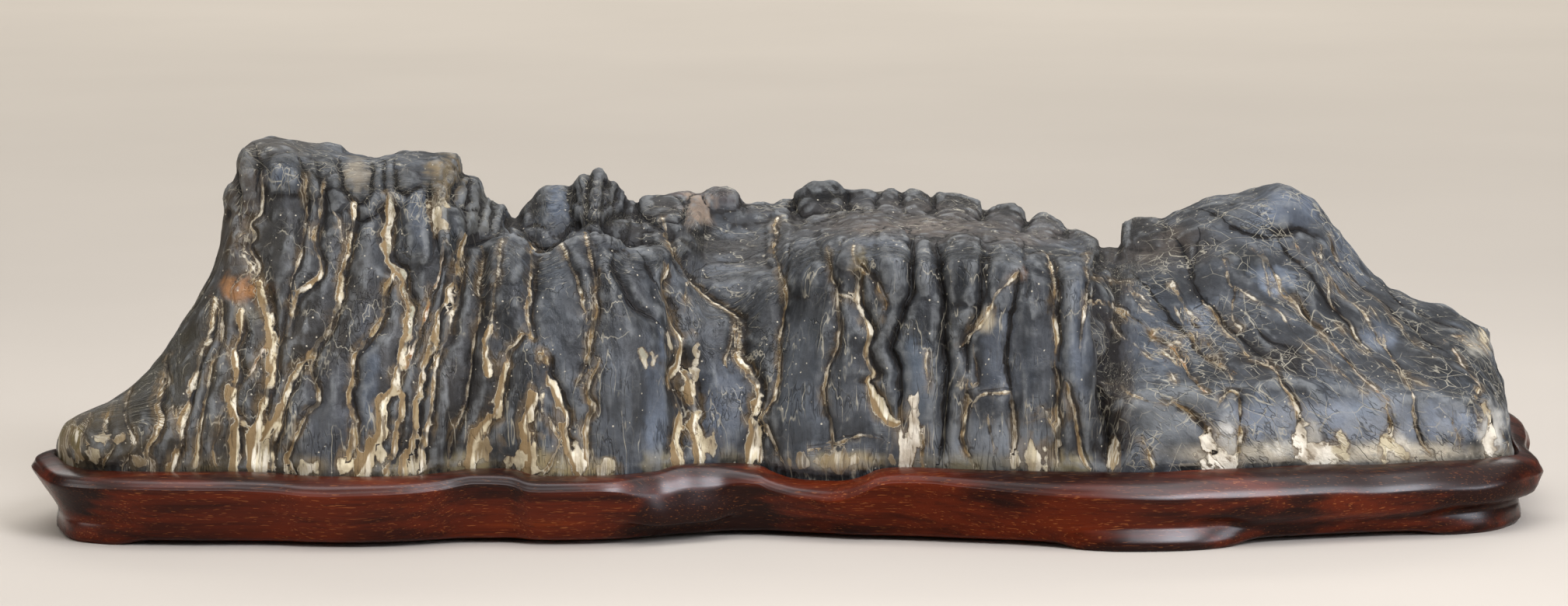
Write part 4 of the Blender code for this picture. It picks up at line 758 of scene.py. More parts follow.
    ("tan", 0.4, 1.8, 1.8, [(133, 35), (141, 28), (146, 20), (147, 13)]),
    ("none", 0, 2.0, 3.0, [(141, 95), (140, 86), (138, 78)]),
    ("tan", 0.4, 1.4, 1.8, [(133, 76), (135, 72), (138, 67), (141, 61), (145, 56)]),
    ("tan", 0.4, 1.4, 1.6, [(142, 60), (146, 54), (149, 49), (154, 45)]),
    ("tan", 0.5, 2.0, 1.8, [(143, 71), (147, 66), (151, 60), (155, 56), (159, 52)]),
    ("tan", 0.35, 1.2, 1.4, [(150, 83), (151, 77), (154, 73), (153, 65), (156, 61)]),
    ("cream", 0.5, 1.6, 1.6, [(148, 34), (153, 39.5), (156, 36), (155.5, 22), (155, 16)]),
    ("cream", 0.5, 1.8, 1.8, [(160, 50), (166, 48), (169, 45), (171, 40), (176, 34), (177, 26), (178, 16)]),
    ("tan", 0.4, 1.2, 1.6, [(160, 86), (166, 82), (169, 77), (176, 70), (179, 65), (186, 57)]),
    ("tan", 0.3, 0.8, 1.2, [(163, 84), (166, 72)]),
    ("rust", 0.4, 0.8, 1.2, [(175, 90), (178, 83)]),
    ("rust", 0.4, 1.2, 1.6, [(186, 57), (194, 49), (200, 42), (206, 36)]),
    ("tan", 0.5, 1.6, 1.8, [(206, 33), (208, 28), (208, 17)]),
    ("tan", 0.4, 1.6, 1.8, [(215, 37), (218, 22), (221, 17)]),
    ("tan", 0.35, 1.2, 1.6, [(180, 88), (190, 74), (200, 62), (209, 50), (214, 39)]),
    ("tan", 0.3, 1.0, 1.4, [(186, 92), (198, 76), (210, 62), (222, 50)]),
    ("rust", 0.45, 1.2, 1.6, [(226, 55), (236, 44), (239, 40)]),
    ("cream", 0.7, 1.6, 1.8, [(238, 41), (238, 35), (243, 30), (241, 20)]),
    ("tan", 0.3, 0.8, 1.2, [(232, 55), (238, 54)]),
    ("pale", 0.5, 0.5, 1.2, [(105, 71.5), (112, 67), (117, 63), (122, 60.5), (126.5, 56), (131, 51.5),
                             (134, 48)]),
    ("cream", 0.5, 0.4, 1.0, [(117.5, 74.5), (121, 70.5), (124, 67.5), (127, 67)]),
    ("tan", 0.4, 0.4, 1.0, [(123.5, 62), (124, 59), (128, 57), (133, 56), (136, 54.5), (138, 51)]),
    ("pale", 0.4, 0.4, 1.0, [(132, 75), (135, 71), (138, 67), (141, 64.5)]),
    ("pale", 0.35, 0.4, 1.0, [(112, 62), (118, 56), (126, 50), (131, 46), (133, 42)]),
    ("cream", 0.35, 0.4, 1.0, [(154, 75), (160, 71), (166, 67.5), (170, 65), (174, 60)]),
    ("cream", 0.6, 1.0, 1.4, [(163, 85.5), (168, 79), (171, 73), (176, 69.5)]),
    ("none", 0, 2.6, 1.4, [(176, 72), (179, 67), (181, 63), (186, 59)]),
    ("cream", 0.4, 0.8, 1.2, [(183, 88), (185.5, 80), (186.5, 73), (190, 67), (194, 62.5), (197, 58),
                              (201, 53)]),
    ("tan", 0.3, 0.5, 1.0, [(188, 84), (193, 80), (197, 76)]),
    ("pale", 0.35, 0.5, 1.0, [(200, 67), (203, 62), (206, 56), (208, 50), (213, 46)]),
    ("white", 0.5, 0.4, 1.0, [(228, 57), (234, 56), (240, 52)]),
    ("rust", 0.4, 0.8, 1.2, [(165, 50), (168, 46.5), (170, 42), (173.5, 37), (175.5, 33), (176, 27)]),
    ("pale", 0.35, 0.4, 1.0, [(228.5, 31), (229.5, 26), (231, 19)]),
    ("cream", 0.4, 0.5, 1.0, [(122, 22), (124, 17), (125, 12)]),
    ("none", 0, 2.4, 3.2, [(133, 92), (138, 84), (140, 76), (146, 68), (156, 58), (166, 50)]),
    ("none", 0, 2.4, 3.0, [(168, 93), (176, 84), (184, 74), (192, 64), (200, 54)]),
    ("none", 0, 2.0, 2.6, [(186, 92), (194, 80), (204, 70), (216, 60), (226, 52)]),
    ("none", 0, 2.0, 2.6, [(118, 80), (126, 72), (134, 62), (142, 54), (150, 46)]),
    ("none", 0, 1.6, 2.2, [(204, 76), (214, 68), (226, 62), (236, 58)]),
    ("none", 0, 1.8, 2.2, [(142, 101), (152, 96), (160, 93), (168, 93)]),
    ("none", 0, 2.2, 1.4, [(140, 68), (143.5, 71), (146, 68), (149.5, 63), (155, 58)]),
    ("none", 0, 1.8, 1.2, [(160, 62), (166, 57), (172, 55), (176, 51)]),
    ("none", 0, 2.8, 1.4, [(164, 95.5), (170, 94), (176, 95.5), (181, 93)]),
    ("tan", 0.3, 0.4, 1.0, [(133, 68), (138, 60), (143, 53), (150, 47), (153, 43)]),
    ("tan", 0.3, 0.4, 1.0, [(176, 58), (184, 50), (193, 43), (199, 38)]),
    ("pale", 0.3, 0.4, 1.0, [(190, 62), (200, 52), (212, 44), (223, 40)]),
]

# Patches of the front: what they are, (u, v), half width, half height, how solid they are.
frontPatches = [
    ("olive", -248, 24, 5, 6, 0.7), ("cream", -235, 23.5, 2.6, 1.8, 0.55),
    ("tan", -230.5, 21.5, 3, 2.2, 0.6), ("cream", -240, 16.5, 2, 1.8, 0.6),
    ("tan", -245, 14.5, 3.4, 2, 0.6), ("tan", -222, 13.5, 5, 1.8, 0.5), ("cream", -153, 13, 2.4, 3, 1.0),
    ("cream", -120.5, 100, 2.2, 4.5, 0.7), ("cream", -165, 12, 4.5, 2.6, 0.8),
    ("cream", -63, 12, 4, 2.2, 0.7), ("cream", -27, 19, 4, 3.6, 0.8), ("pale", -49.6, 51.4, 1.8, 1.8, 0.8),
    ("cream", -47.4, 48.6, 2.6, 2.4, 0.65), ("cream", -41, 57, 1.0, 3, 0.6),
    ("cream", -33.4, 50, 1.6, 5.5, 0.7), ("cream", -190, 16, 2.2, 4, 0.8), ("cream", -181, 17, 3, 6, 0.85),
    ("cream", -141, 17, 3, 6, 0.8), ("cream", -93, 15, 4, 3.4, 0.8), ("tan", -104, 18, 4, 3.4, 0.7),
    ("cream", 78, 14.5, 2.4, 2, 0.6), ("white", 46, 33, 1.0, 4, 0.6), ("white", 41.5, 21, 3.0, 9, 1.0),
    ("cream", 86, 15, 3, 4.6, 0.9), ("cream", 83, 17, 2, 4, 0.7), ("tan", 17, 15, 15, 2.4, 0.5),
    ("tan", 111, 14, 2.4, 5, 0.8), ("white", 144.5, 18, 2.6, 6.5, 1.0), ("white", 149, 15, 5, 3.4, 1.0),
    ("white", 177.5, 21, 2.0, 6.5, 1.0), ("white", 182, 17, 4.6, 4.5, 1.0),
    ("cream", 190, 17, 2.4, 5.5, 0.9), ("cream", 207, 19, 2.0, 5.0, 0.95),
    ("cream", 210, 17.5, 3, 2.4, 0.9), ("white", 242, 21, 3, 5, 0.95), ("cream", 241, 30, 1.6, 3.4, 0.8),
    ("cream", 240, 58, 1.4, 3, 0.7), ("cream", -130, 14, 3, 4, 0.5),
]


def alongLine(points, path):  # distance to a line, on which side, how far along, its length, the way from it
    best = np.full(len(points), 1e9)
    side, along, toward = np.zeros(len(points)), np.zeros(len(points)), np.zeros((len(points), 2))
    done = 0.0
    for start, end in zip(path[:-1], path[1:]):
        leg = end - start
        reach = np.linalg.norm(leg)
        t = np.clip(((points - start) @ leg) / reach**2, 0, 1)
        gap = points - start - t[:, None] * leg
        distance = np.linalg.norm(gap, axis=1)
        nearer = distance < best
        best[nearer] = distance[nearer]
        turn = np.sign(leg[0] * gap[:, 1] - leg[1] * gap[:, 0])
        side[nearer] = turn[nearer]
        along[nearer] = done + (t * reach)[nearer]
        toward[nearer] = (gap / np.maximum(distance, 1e-6)[:, None])[nearer]
        done += reach
    return best, side, along, done, toward


def drawLines(flat, lean, lines, marks, swell):
    # What lines and patches do to each point: how deep its furrow is, how near the line is, what fills it.
    count, far = len(flat), 9.0  # far: beyond what a line changes
    field = {
        "furrow": np.zeros(count), "near": np.full(count, far), "side": np.full(count, far),
        "half": np.zeros(count), "amount": np.zeros(count), "proud": np.zeros(count),
        "tone": np.zeros((count, 4)), "crack": np.full(count, far), "crackSide": np.full(count, far),
    }
    best = np.full(count, -6.0)
    for tone, half, depth, width, path in lines:
        path = roundedLine(path, cuts=4)
        low, high = path.min(axis=0) - stone["margin"], path.max(axis=0) + stone["margin"]
        close = np.flatnonzero(((flat > low) & (flat < high)).all(axis=1))
        if not len(close):
            continue
        distance, side, along, length, toward = alongLine(flat[close], path)
        facing = (toward * lean[close]).sum(axis=1)
        distance = distance / np.sqrt(np.maximum(1 - facing**2, 0.12))  # along the surface, not in the plane
        taper = ease(along, -2, 6) * (0.35 + 0.65 * ease(length - along, -2, 8))
        beside = half + 0.7 if half > 0.6 else 0.0  # a wide vein stands proud, with its crease beside it
        crease = np.abs(distance * side - beside)
        notch = 0.42 * np.exp(-crease / (0.45 * width)) + 0.33 * np.exp(-((distance / (1.8 * width)) ** 2))
        notch += 0.25 * np.exp(-distance / 5.0) * (depth > 1.5)  # so that the ribs between are round
        field["furrow"][close] = np.maximum(field["furrow"][close], stone["cut"] * depth * taper * notch)
        if tone == "none":  # an empty crack, drawn wider where it is deep
            crackWidth = 0.4 + 0.2 * depth
            nearer = distance / crackWidth < field["crack"][close]
            field["crack"][close[nearer]] = (distance / crackWidth)[nearer]
            field["crackSide"][close[nearer]] = (distance * side / crackWidth)[nearer]
            continue
        widening = (0.5 + 0.5 * (half > 0.6)) * (1 - ease(flat[close, 1], 14, 50))
        wide = half * np.clip(0.8 + 0.9 * swell[close], 0.25, 1.8) * (1 + widening)
        score = wide - distance
        wins = score > best[close]
        chosen = close[wins]
        best[chosen] = score[wins]
        field["near"][chosen] = distance[wins]
        field["side"][chosen] = (distance * side)[wins]
        field["half"][chosen] = wide[wins]
        field["amount"][chosen] = 1.0
        field["proud"][chosen] = max(0.0, min(0.5, 0.5 * half - 0.4)) * ease(score[wins], -0.4, 0.5)
        field["tone"][chosen] = (*linear(tones[tone]), 1)
    for tone, u, v, halfWidth, halfHeight, amount in marks:
        reach = np.hypot((flat[:, 0] - u) / halfWidth, (flat[:, 1] - v) / halfHeight)
        score = (1 - reach) * min(halfWidth, halfHeight) * 0.8 + 2.6 * swell
        wins = (score > best) & (reach < 2.0)
        best[wins] = score[wins]
        field["near"][wins], field["side"][wins] = np.maximum(3.0 - score[wins], 2.0), 6.0
        field["half"][wins] = 3.0
        field["amount"][wins] = amount
        field["tone"][wins] = (*linear(tones[tone]), 1)
    return field


def backLines(seed):  # furrows and veins for the back, in (x, z), that wander as they drop
    maker = np.random.default_rng(seed)
    back = stone["back"]
    lines, marks = [], []
    x = back["from"]
    while x < back["to"]:
        drift = np.cumsum(maker.uniform(-back["wander"], back["wander"], back["bends"]))
        path = [(x + d, back["top"] - back["drop"] * k) for k, d in enumerate(drift)]
        tone = str(maker.choice(back["fills"]))
        half = float(maker.choice(back["halfWidths"]))
        depth, width = float(maker.uniform(*back["depths"])), float(maker.uniform(*back["widths"]))
        lines.append((tone, half, depth, width, path))
        if maker.random() < back["branching"]:
            start = int(maker.integers(1, 5))
            side = []
            for k, (px, pz) in enumerate(path[start:], 1):
                side.append((px + 1.6 * k * maker.uniform(-1, 1), pz))
            lines.append(("tan", 0.45, 1.2, 1.6, side))
        if maker.random() < back["seeping"]:  # a pale patch at its foot
            height, halfWidth, halfHeight = maker.uniform(22, 34), maker.uniform(2, 6), maker.uniform(3, 6)
            marks.append(("cream", path[-2][0], height, halfWidth, halfHeight, 0.85))
        x += maker.uniform(*back["apart"])
    return lines, marks


# Lumps of the front: (u, v), half width, half height, how far each stands out.
frontLumps = [
    (-98, 78, 8, 14, 1.6), (-57, 60, 12, 24, 2.2), (-170, 88, 7, 18, 1.6), (-172, 22, 7, 13, 1.8),
    (-28, 62, 8, 9, 2.2), (2, 40, 11, 26, 2.4), (-12, 76, 12, 5, 1.6), (84, 46, 7, 14, 1.6),
    (100, 50, 6, 18, 1.6), (157, 82, 9, 8, 2.4), (150, 100, 12, 6, 1.6), (150, 28, 12, 9, 1.6),
    (192, 30, 14, 9, 1.6), (228, 50, 12, 8, 1.6), (172, 102, 9, 6, 1.8), (12, 15, 14, 5, 1.6),
    (-145, 86, 6, 12, 1.6), (122, 70, 9, 9, 1.6), (180, 76, 7, 8, 1.8), (198, 66, 7, 6, 1.4),
    (212, 64, 7, 4, 1.2), (232, 60, 6, 3.4, 1.2),
]

# Knobs of the front, domes that meet in a crease: (u, v), half width, half height, height.
frontKnobs = [
    # the summit
    (-178, 122, 9, 3.4, 1.0), (-173, 113.5, 5.4, 7.4, 2.0), (-192.3, 106, 2.8, 5.2, 1.6),
    (-186, 114, 4.6, 9, 1.4), (-165, 111, 3.4, 6, 1.2), (-160, 117, 4.4, 3.8, 1.2),
    (-156, 112, 3.4, 3.2, 1.2), (-156, 105, 4, 3.8, 1.5), (-149, 114, 5.6, 6, 1.1),
    (-146, 101, 3.6, 2.6, 1.3), (-151, 99, 3, 2.8, 1.2), (-142, 105, 2.8, 3, 1.2),
    (-141.3, 112.6, 2.0, 5, 1.1), (-137.3, 113, 1.9, 5, 1.1), (-131, 112, 5, 3.6, 1.5),
    (-127, 96, 4.8, 14, 1.8), (-116.5, 93.5, 6, 10, 2.0), (-119, 108, 3, 2.8, 1.0),
    (-115.4, 113, 2.6, 2.4, 1.0), (-118, 118, 6, 2.2, 0.8),
    # the steps below its right end
    (-111.8, 107, 2.0, 6, 1.6), (-108, 106.4, 2.0, 5.6, 1.6), (-104, 101.8, 2.3, 5, 1.6),
    (-99.3, 98, 2.6, 5.6, 1.6), (-112.6, 99.5, 2.2, 4.8, 1.2), (-108.4, 97.6, 2.3, 4.6, 1.2),
    (-104.6, 94.6, 2.2, 3.2, 1.0),
    # the second peak, a boulder and its fingers
    (-83, 102, 8.6, 10, 1.8), (-73.4, 101, 2.1, 4.6, 1.8), (-71, 109, 2.3, 6.4, 1.6),
    (-65.6, 113, 3.2, 5.6, 1.6), (-65.9, 105.4, 3.3, 4.6, 2.4), (-66.4, 98.4, 3.6, 4.2, 1.8),
    (-60.8, 108.6, 2.4, 5.4, 1.6), (-61.2, 100, 2.6, 5, 1.8), (-57.2, 104.6, 2.1, 5.4, 1.4),
    (-54, 101.8, 2.0, 4.4, 1.4), (-86.6, 93, 5.6, 3.8, 1.6), (-56.5, 94, 7.4, 6.2, 2.0),
    (-44, 99.8, 9, 6.6, 2.2), (-47, 89, 8, 5.6, 1.4), (-74, 88, 7.8, 7, 1.4), (-99, 85, 8.4, 9.6, 1.4),
    # the saddle
    (-37, 104.6, 6.4, 3.2, 1.0), (-22.5, 105, 7.4, 4.4, 1.8), (-31, 99.6, 5, 6.6, 1.6),
    (-13.5, 100.6, 8, 3.8, 1.2), (-3, 91, 4.8, 9.6, 1.7),
    # the plateau's back
    (11.5, 104, 10, 7, 3.2), (25, 105, 6.6, 3.8, 2.0), (34.8, 104.2, 4.8, 3.8, 2.0),
    (44.6, 103.4, 6, 4.4, 2.4), (58.5, 102.2, 9.4, 5, 2.8), (75.5, 98.8, 7.6, 4.8, 2.8),
    (89.4, 96.2, 7.4, 4.2, 2.4), (101.4, 91.6, 6.2, 3.2, 1.6), (17, 98.8, 9, 2.4, 1.2),
    (31, 99.4, 6, 2.2, 1.0), (47, 98.6, 6, 2.2, 1.1), (64, 96.6, 8, 2.0, 0.9),
    # its columns
    (15.5, 90.6, 5, 4.8, 1.0), (21, 86, 4.8, 6.4, 1.2), (36.5, 82, 6.2, 13.6, 2.0),
    (46.2, 82, 3.0, 11.6, 1.4), (61, 81.6, 7.6, 13.2, 2.0), (75.5, 79.4, 6.6, 12.6, 1.7),
    (86, 76, 3.8, 13, 1.1), (96.6, 76, 5, 14, 1.3), (5, 82, 5.6, 11, 1.3), (44.5, 41, 7.4, 13.6, 1.4),
    # the right mass
    (122, 93.6, 7.6, 6, 1.6),
]


def nearestRim(points, line):  # at the nearest point of the rim line: its height, its normal, how far outside
    normals = outwardNormals(line)
    nearest = np.empty(len(points), int)
    for block in np.array_split(np.arange(len(points)), 1 + len(points) // 2000):
        gaps = points[block, None, :2] - line[None, :, :2]
        nearest[block] = (gaps * gaps).sum(axis=2).argmin(axis=1)
    outside = ((points[:, :2] - line[nearest, :2]) * normals[nearest]).sum(axis=1)
    return line[nearest, 2], normals[nearest], outside


def knobs(points, size, seed):  # rounded lumps, high in the middle of each cell and low between cells
    relief = np.empty(len(points))
    for i, point in enumerate(points / size + seed):
        near = noise.voronoi(point, distance_metric="DISTANCE")[0]
        relief[i] = min(near[1] - near[0], 0.6)
    return relief / 0.3 - 1.0


def domes(flat, rows):  # the height of the highest dome at each point, and where two domes meet
    best, second = np.zeros(len(flat)), np.zeros(len(flat))
    for u, v, halfWidth, halfHeight, height in rows:
        across, up = np.abs((flat[:, 0] - u) / halfWidth), np.abs((flat[:, 1] - v) / halfHeight)
        reach = (across**3 + up**3) ** (1 / 3)
        here = height * np.clip(1 - reach**2.6, 0, 1) ** 0.6
        second = np.where(here > best, best, np.maximum(second, here))
        best = np.maximum(best, here)
    return best, np.exp(-(((best - second) / 0.3) ** 2)) * ease(second, 0.2, 0.7)


# Washes of colour over the front: hex, (u, v), half width, half height, amount. The blue-grey ones are partly
# the stone's own grey and partly painted sheen.
frontWashes = [
    # painted shadow: these two near-black washes are the shadows in the gaps where the stone stands off the
    # rim
    ("#0a0706", 137, 12.4, 5, 1.3, 1.6), ("#0a0706", 213, 14.2, 10, 1.1, 1.6),
    # pale spots, and the calcite that seeps along the foot
    ("#a8986f", -136, 13, 12, 3.6, 0.6), ("#b7a87f", -110, 14, 9, 4.2, 0.8),
    ("#a8986f", -84, 14, 8, 5, 0.8), ("#bfae82", -68, 12.5, 9, 3.4, 0.9), ("#a39670", -45, 14, 6, 5, 0.7),
    ("#a39670", -20, 16, 5, 4, 0.7), ("#8c8263", 62, 14, 22, 4, 0.6), ("#b3a57e", 97, 14, 7, 4.5, 0.7),
    ("#a8986f", 19, 15, 14, 3.4, 0.7), ("#9d9172", -165, 13, 8, 4, 0.7), ("#9d9172", -205, 13, 12, 3, 0.5),
    # the toe and the left slope: olive and brown; the first and widest, over the whole left mass, is partly
    # painted shade that darkens that side
    ("#3b3427", -205, 55, 60, 70, 0.72), ("#3a352f", -140, 45, 50, 40, 0.5),
    ("#33322f", -20, 45, 50, 30, 0.32), ("#493f2b", -243, 23, 20, 16, 0.85),
    ("#3d3a2e", -215, 46, 18, 22, 0.5), ("#44382a", -190, 103, 8, 26, 0.75),
    ("#b47a3e", -187, 74, 9, 5, 0.75), ("#85806f", -187, 66, 4, 5, 0.55), ("#6f6042", -150, 12, 70, 5, 0.3),
    # the summit
    ("#1a1816", -171, 99, 9, 8, 0.95), ("#23211d", -177, 84, 9, 16, 0.65),
    ("#55606f", -173, 114, 6, 6, 0.5), ("#4f4a43", -175, 123, 14, 4, 0.6),
    ("#8f8470", -148.5, 113, 5.5, 6, 0.75), ("#2a2a2b", -131, 112, 5, 4, 0.7),
    ("#8a7755", -118, 113, 7, 8, 0.75), ("#4f5967", -127, 100, 5, 10, 0.6),
    ("#9a937f", -120.5, 100, 3, 6, 0.7), ("#1f2326", -115.5, 93, 6.5, 9, 0.8),
    ("#7c7a70", -106, 101, 6, 9, 0.55), ("#5d6674", -155, 30, 16, 22, 0.25),
    ("#677280", -145, 40, 4, 22, 0.5), ("#1d1f21", -163, 82, 5, 20, 0.55),
    ("#1f2124", -150, 50, 5, 18, 0.45), ("#1f2225", -171, 34, 8, 14, 0.45),
    ("#202326", -160, 100, 5, 9, 0.5),
    # the second peak and the middle
    ("#2b2b2e", -64, 105, 12, 12, 0.8), ("#5a6472", -78.5, 102, 4, 8, 0.7),
    ("#1f1c1b", -89, 103, 5, 6, 0.85), ("#1d1a19", -56, 95, 8, 6, 0.8), ("#211e1d", -45, 100, 10, 6, 1.0),
    ("#5a4c49", -34, 107, 9, 2.5, 0.6), ("#4a403e", -21, 106, 8, 4, 0.7),
    ("#1c1919", -10, 101.5, 6, 3, 0.8), ("#988471", -31, 101, 5.5, 6.5, 0.8),
    ("#121010", -30, 90, 15, 6, 1.1), ("#232121", -12, 88, 14, 7, 0.7), ("#26292c", -10, 58, 8, 20, 0.5),
    ("#1e2124", -62, 72, 7, 14, 0.5), ("#6b7482", -24, 30, 12, 22, 0.4), ("#707a88", -46, 32, 4, 25, 0.5),
    ("#3f464c", -80, 75, 12, 14, 0.3), ("#1c1f21", -96, 44, 6, 14, 0.4), ("#1e2123", -56, 30, 6, 16, 0.4),
    # the plateau and its columns
    ("#3f3833", 50, 98, 58, 8, 0.85), ("#0e0c0c", 11.5, 106, 10, 5, 1.2),
    ("#171414", 25, 106.5, 6.5, 2.6, 0.9), ("#151212", 35, 105.6, 4.6, 2.8, 0.9),
    ("#171413", 45, 105, 5.6, 3.2, 0.9), ("#141111", 59, 104, 9, 3.6, 1.1),
    ("#100e0d", 76, 100.6, 7.6, 3.6, 1.2), ("#171413", 90, 97.6, 6.6, 3, 1.0),
    ("#1d1a18", 101, 93, 5.6, 2.4, 0.8), ("#75695f", 40, 95.6, 26, 2.6, 0.5),
    ("#6d635b", 84, 92, 16, 2.6, 0.45), ("#2b2a2a", 4, 96, 6, 4, 0.6), ("#a89a78", 24.5, 82, 3, 6, 0.8),
    ("#b5a88c", 67, 63, 4.5, 4, 0.8), ("#7a5a3e", 79, 79, 4, 3, 0.6), ("#6c7684", 100, 62, 7, 26, 0.45),
    ("#5f6876", 75, 50, 10, 16, 0.3), ("#65707c", 44, 45, 7, 16, 0.4), ("#5b6570", 5, 40, 12, 24, 0.25),
    ("#17191b", 27, 75, 8, 12, 0.5), ("#1a1d21", 62, 78, 7, 12, 0.6), ("#1e2123", 14, 60, 6, 20, 0.45),
    ("#191c1e", 52, 60, 4, 24, 0.5), ("#1c1f22", 84, 56, 5, 16, 0.4), ("#9ba1a6", 70, 22, 28, 7, 0.4),
    # the right mass; the pale blue-grey band above its foot is partly lighter stone and partly painted sheen
    ("#2b221b", 113, 42, 7, 36, 1.0), ("#423a33", 126, 90, 22, 9, 0.8), ("#100d0c", 122, 94, 8, 6, 1.3),
    ("#181b1d", 157, 82, 8, 7, 1.0), ("#808b99", 168, 77, 8, 4.6, 0.7), ("#66707f", 172, 101, 12, 8, 0.5),
    ("#171210", 172, 94.5, 8, 2.2, 1.0), ("#5d6672", 192, 86, 8, 12, 0.5),
    ("#68727f", 130, 60, 18, 16, 0.4), ("#1f1b19", 168, 50, 17, 8, 0.8), ("#2d2f31", 205, 68, 20, 8, 0.5),
    ("#242424", 215, 47, 20, 7, 0.6), ("#232629", 134, 74, 8, 7, 0.5), ("#1f2225", 188, 70, 7, 6, 0.5),
    ("#828c99", 142, 66, 5, 5, 0.5), ("#7f8997", 204, 58, 8, 4, 0.5), ("#8d939b", 192, 28.5, 56, 8.5, 1.05),
    ("#8a8e8f", 130, 32, 12, 12, 0.55), ("#ded3bb", 192, 17.5, 60, 4.2, 0.7),
    ("#a8a498", 238, 55, 6, 5, 0.6), ("#77818f", 160, 31, 6, 7, 0.7), ("#808a99", 186, 27, 5, 8, 0.6),
    ("#79838f", 200, 33, 7, 4, 0.6), ("#7d8796", 219, 29, 6, 7, 0.7), ("#828c9a", 232, 25, 4, 7, 0.6),
    ("#e6e3da", 150, 24, 5, 6, 0.7), ("#e6e2d6", 171, 20, 5, 4, 0.6), ("#f1e9d6", 181, 22, 4, 6, 0.6),
    ("#f1e9d6", 209, 20, 4, 5, 0.6), ("#4c535c", 176, 36, 30, 3, 0.35), ("#e8e4d8", 243, 26, 4, 10, 0.7),
]


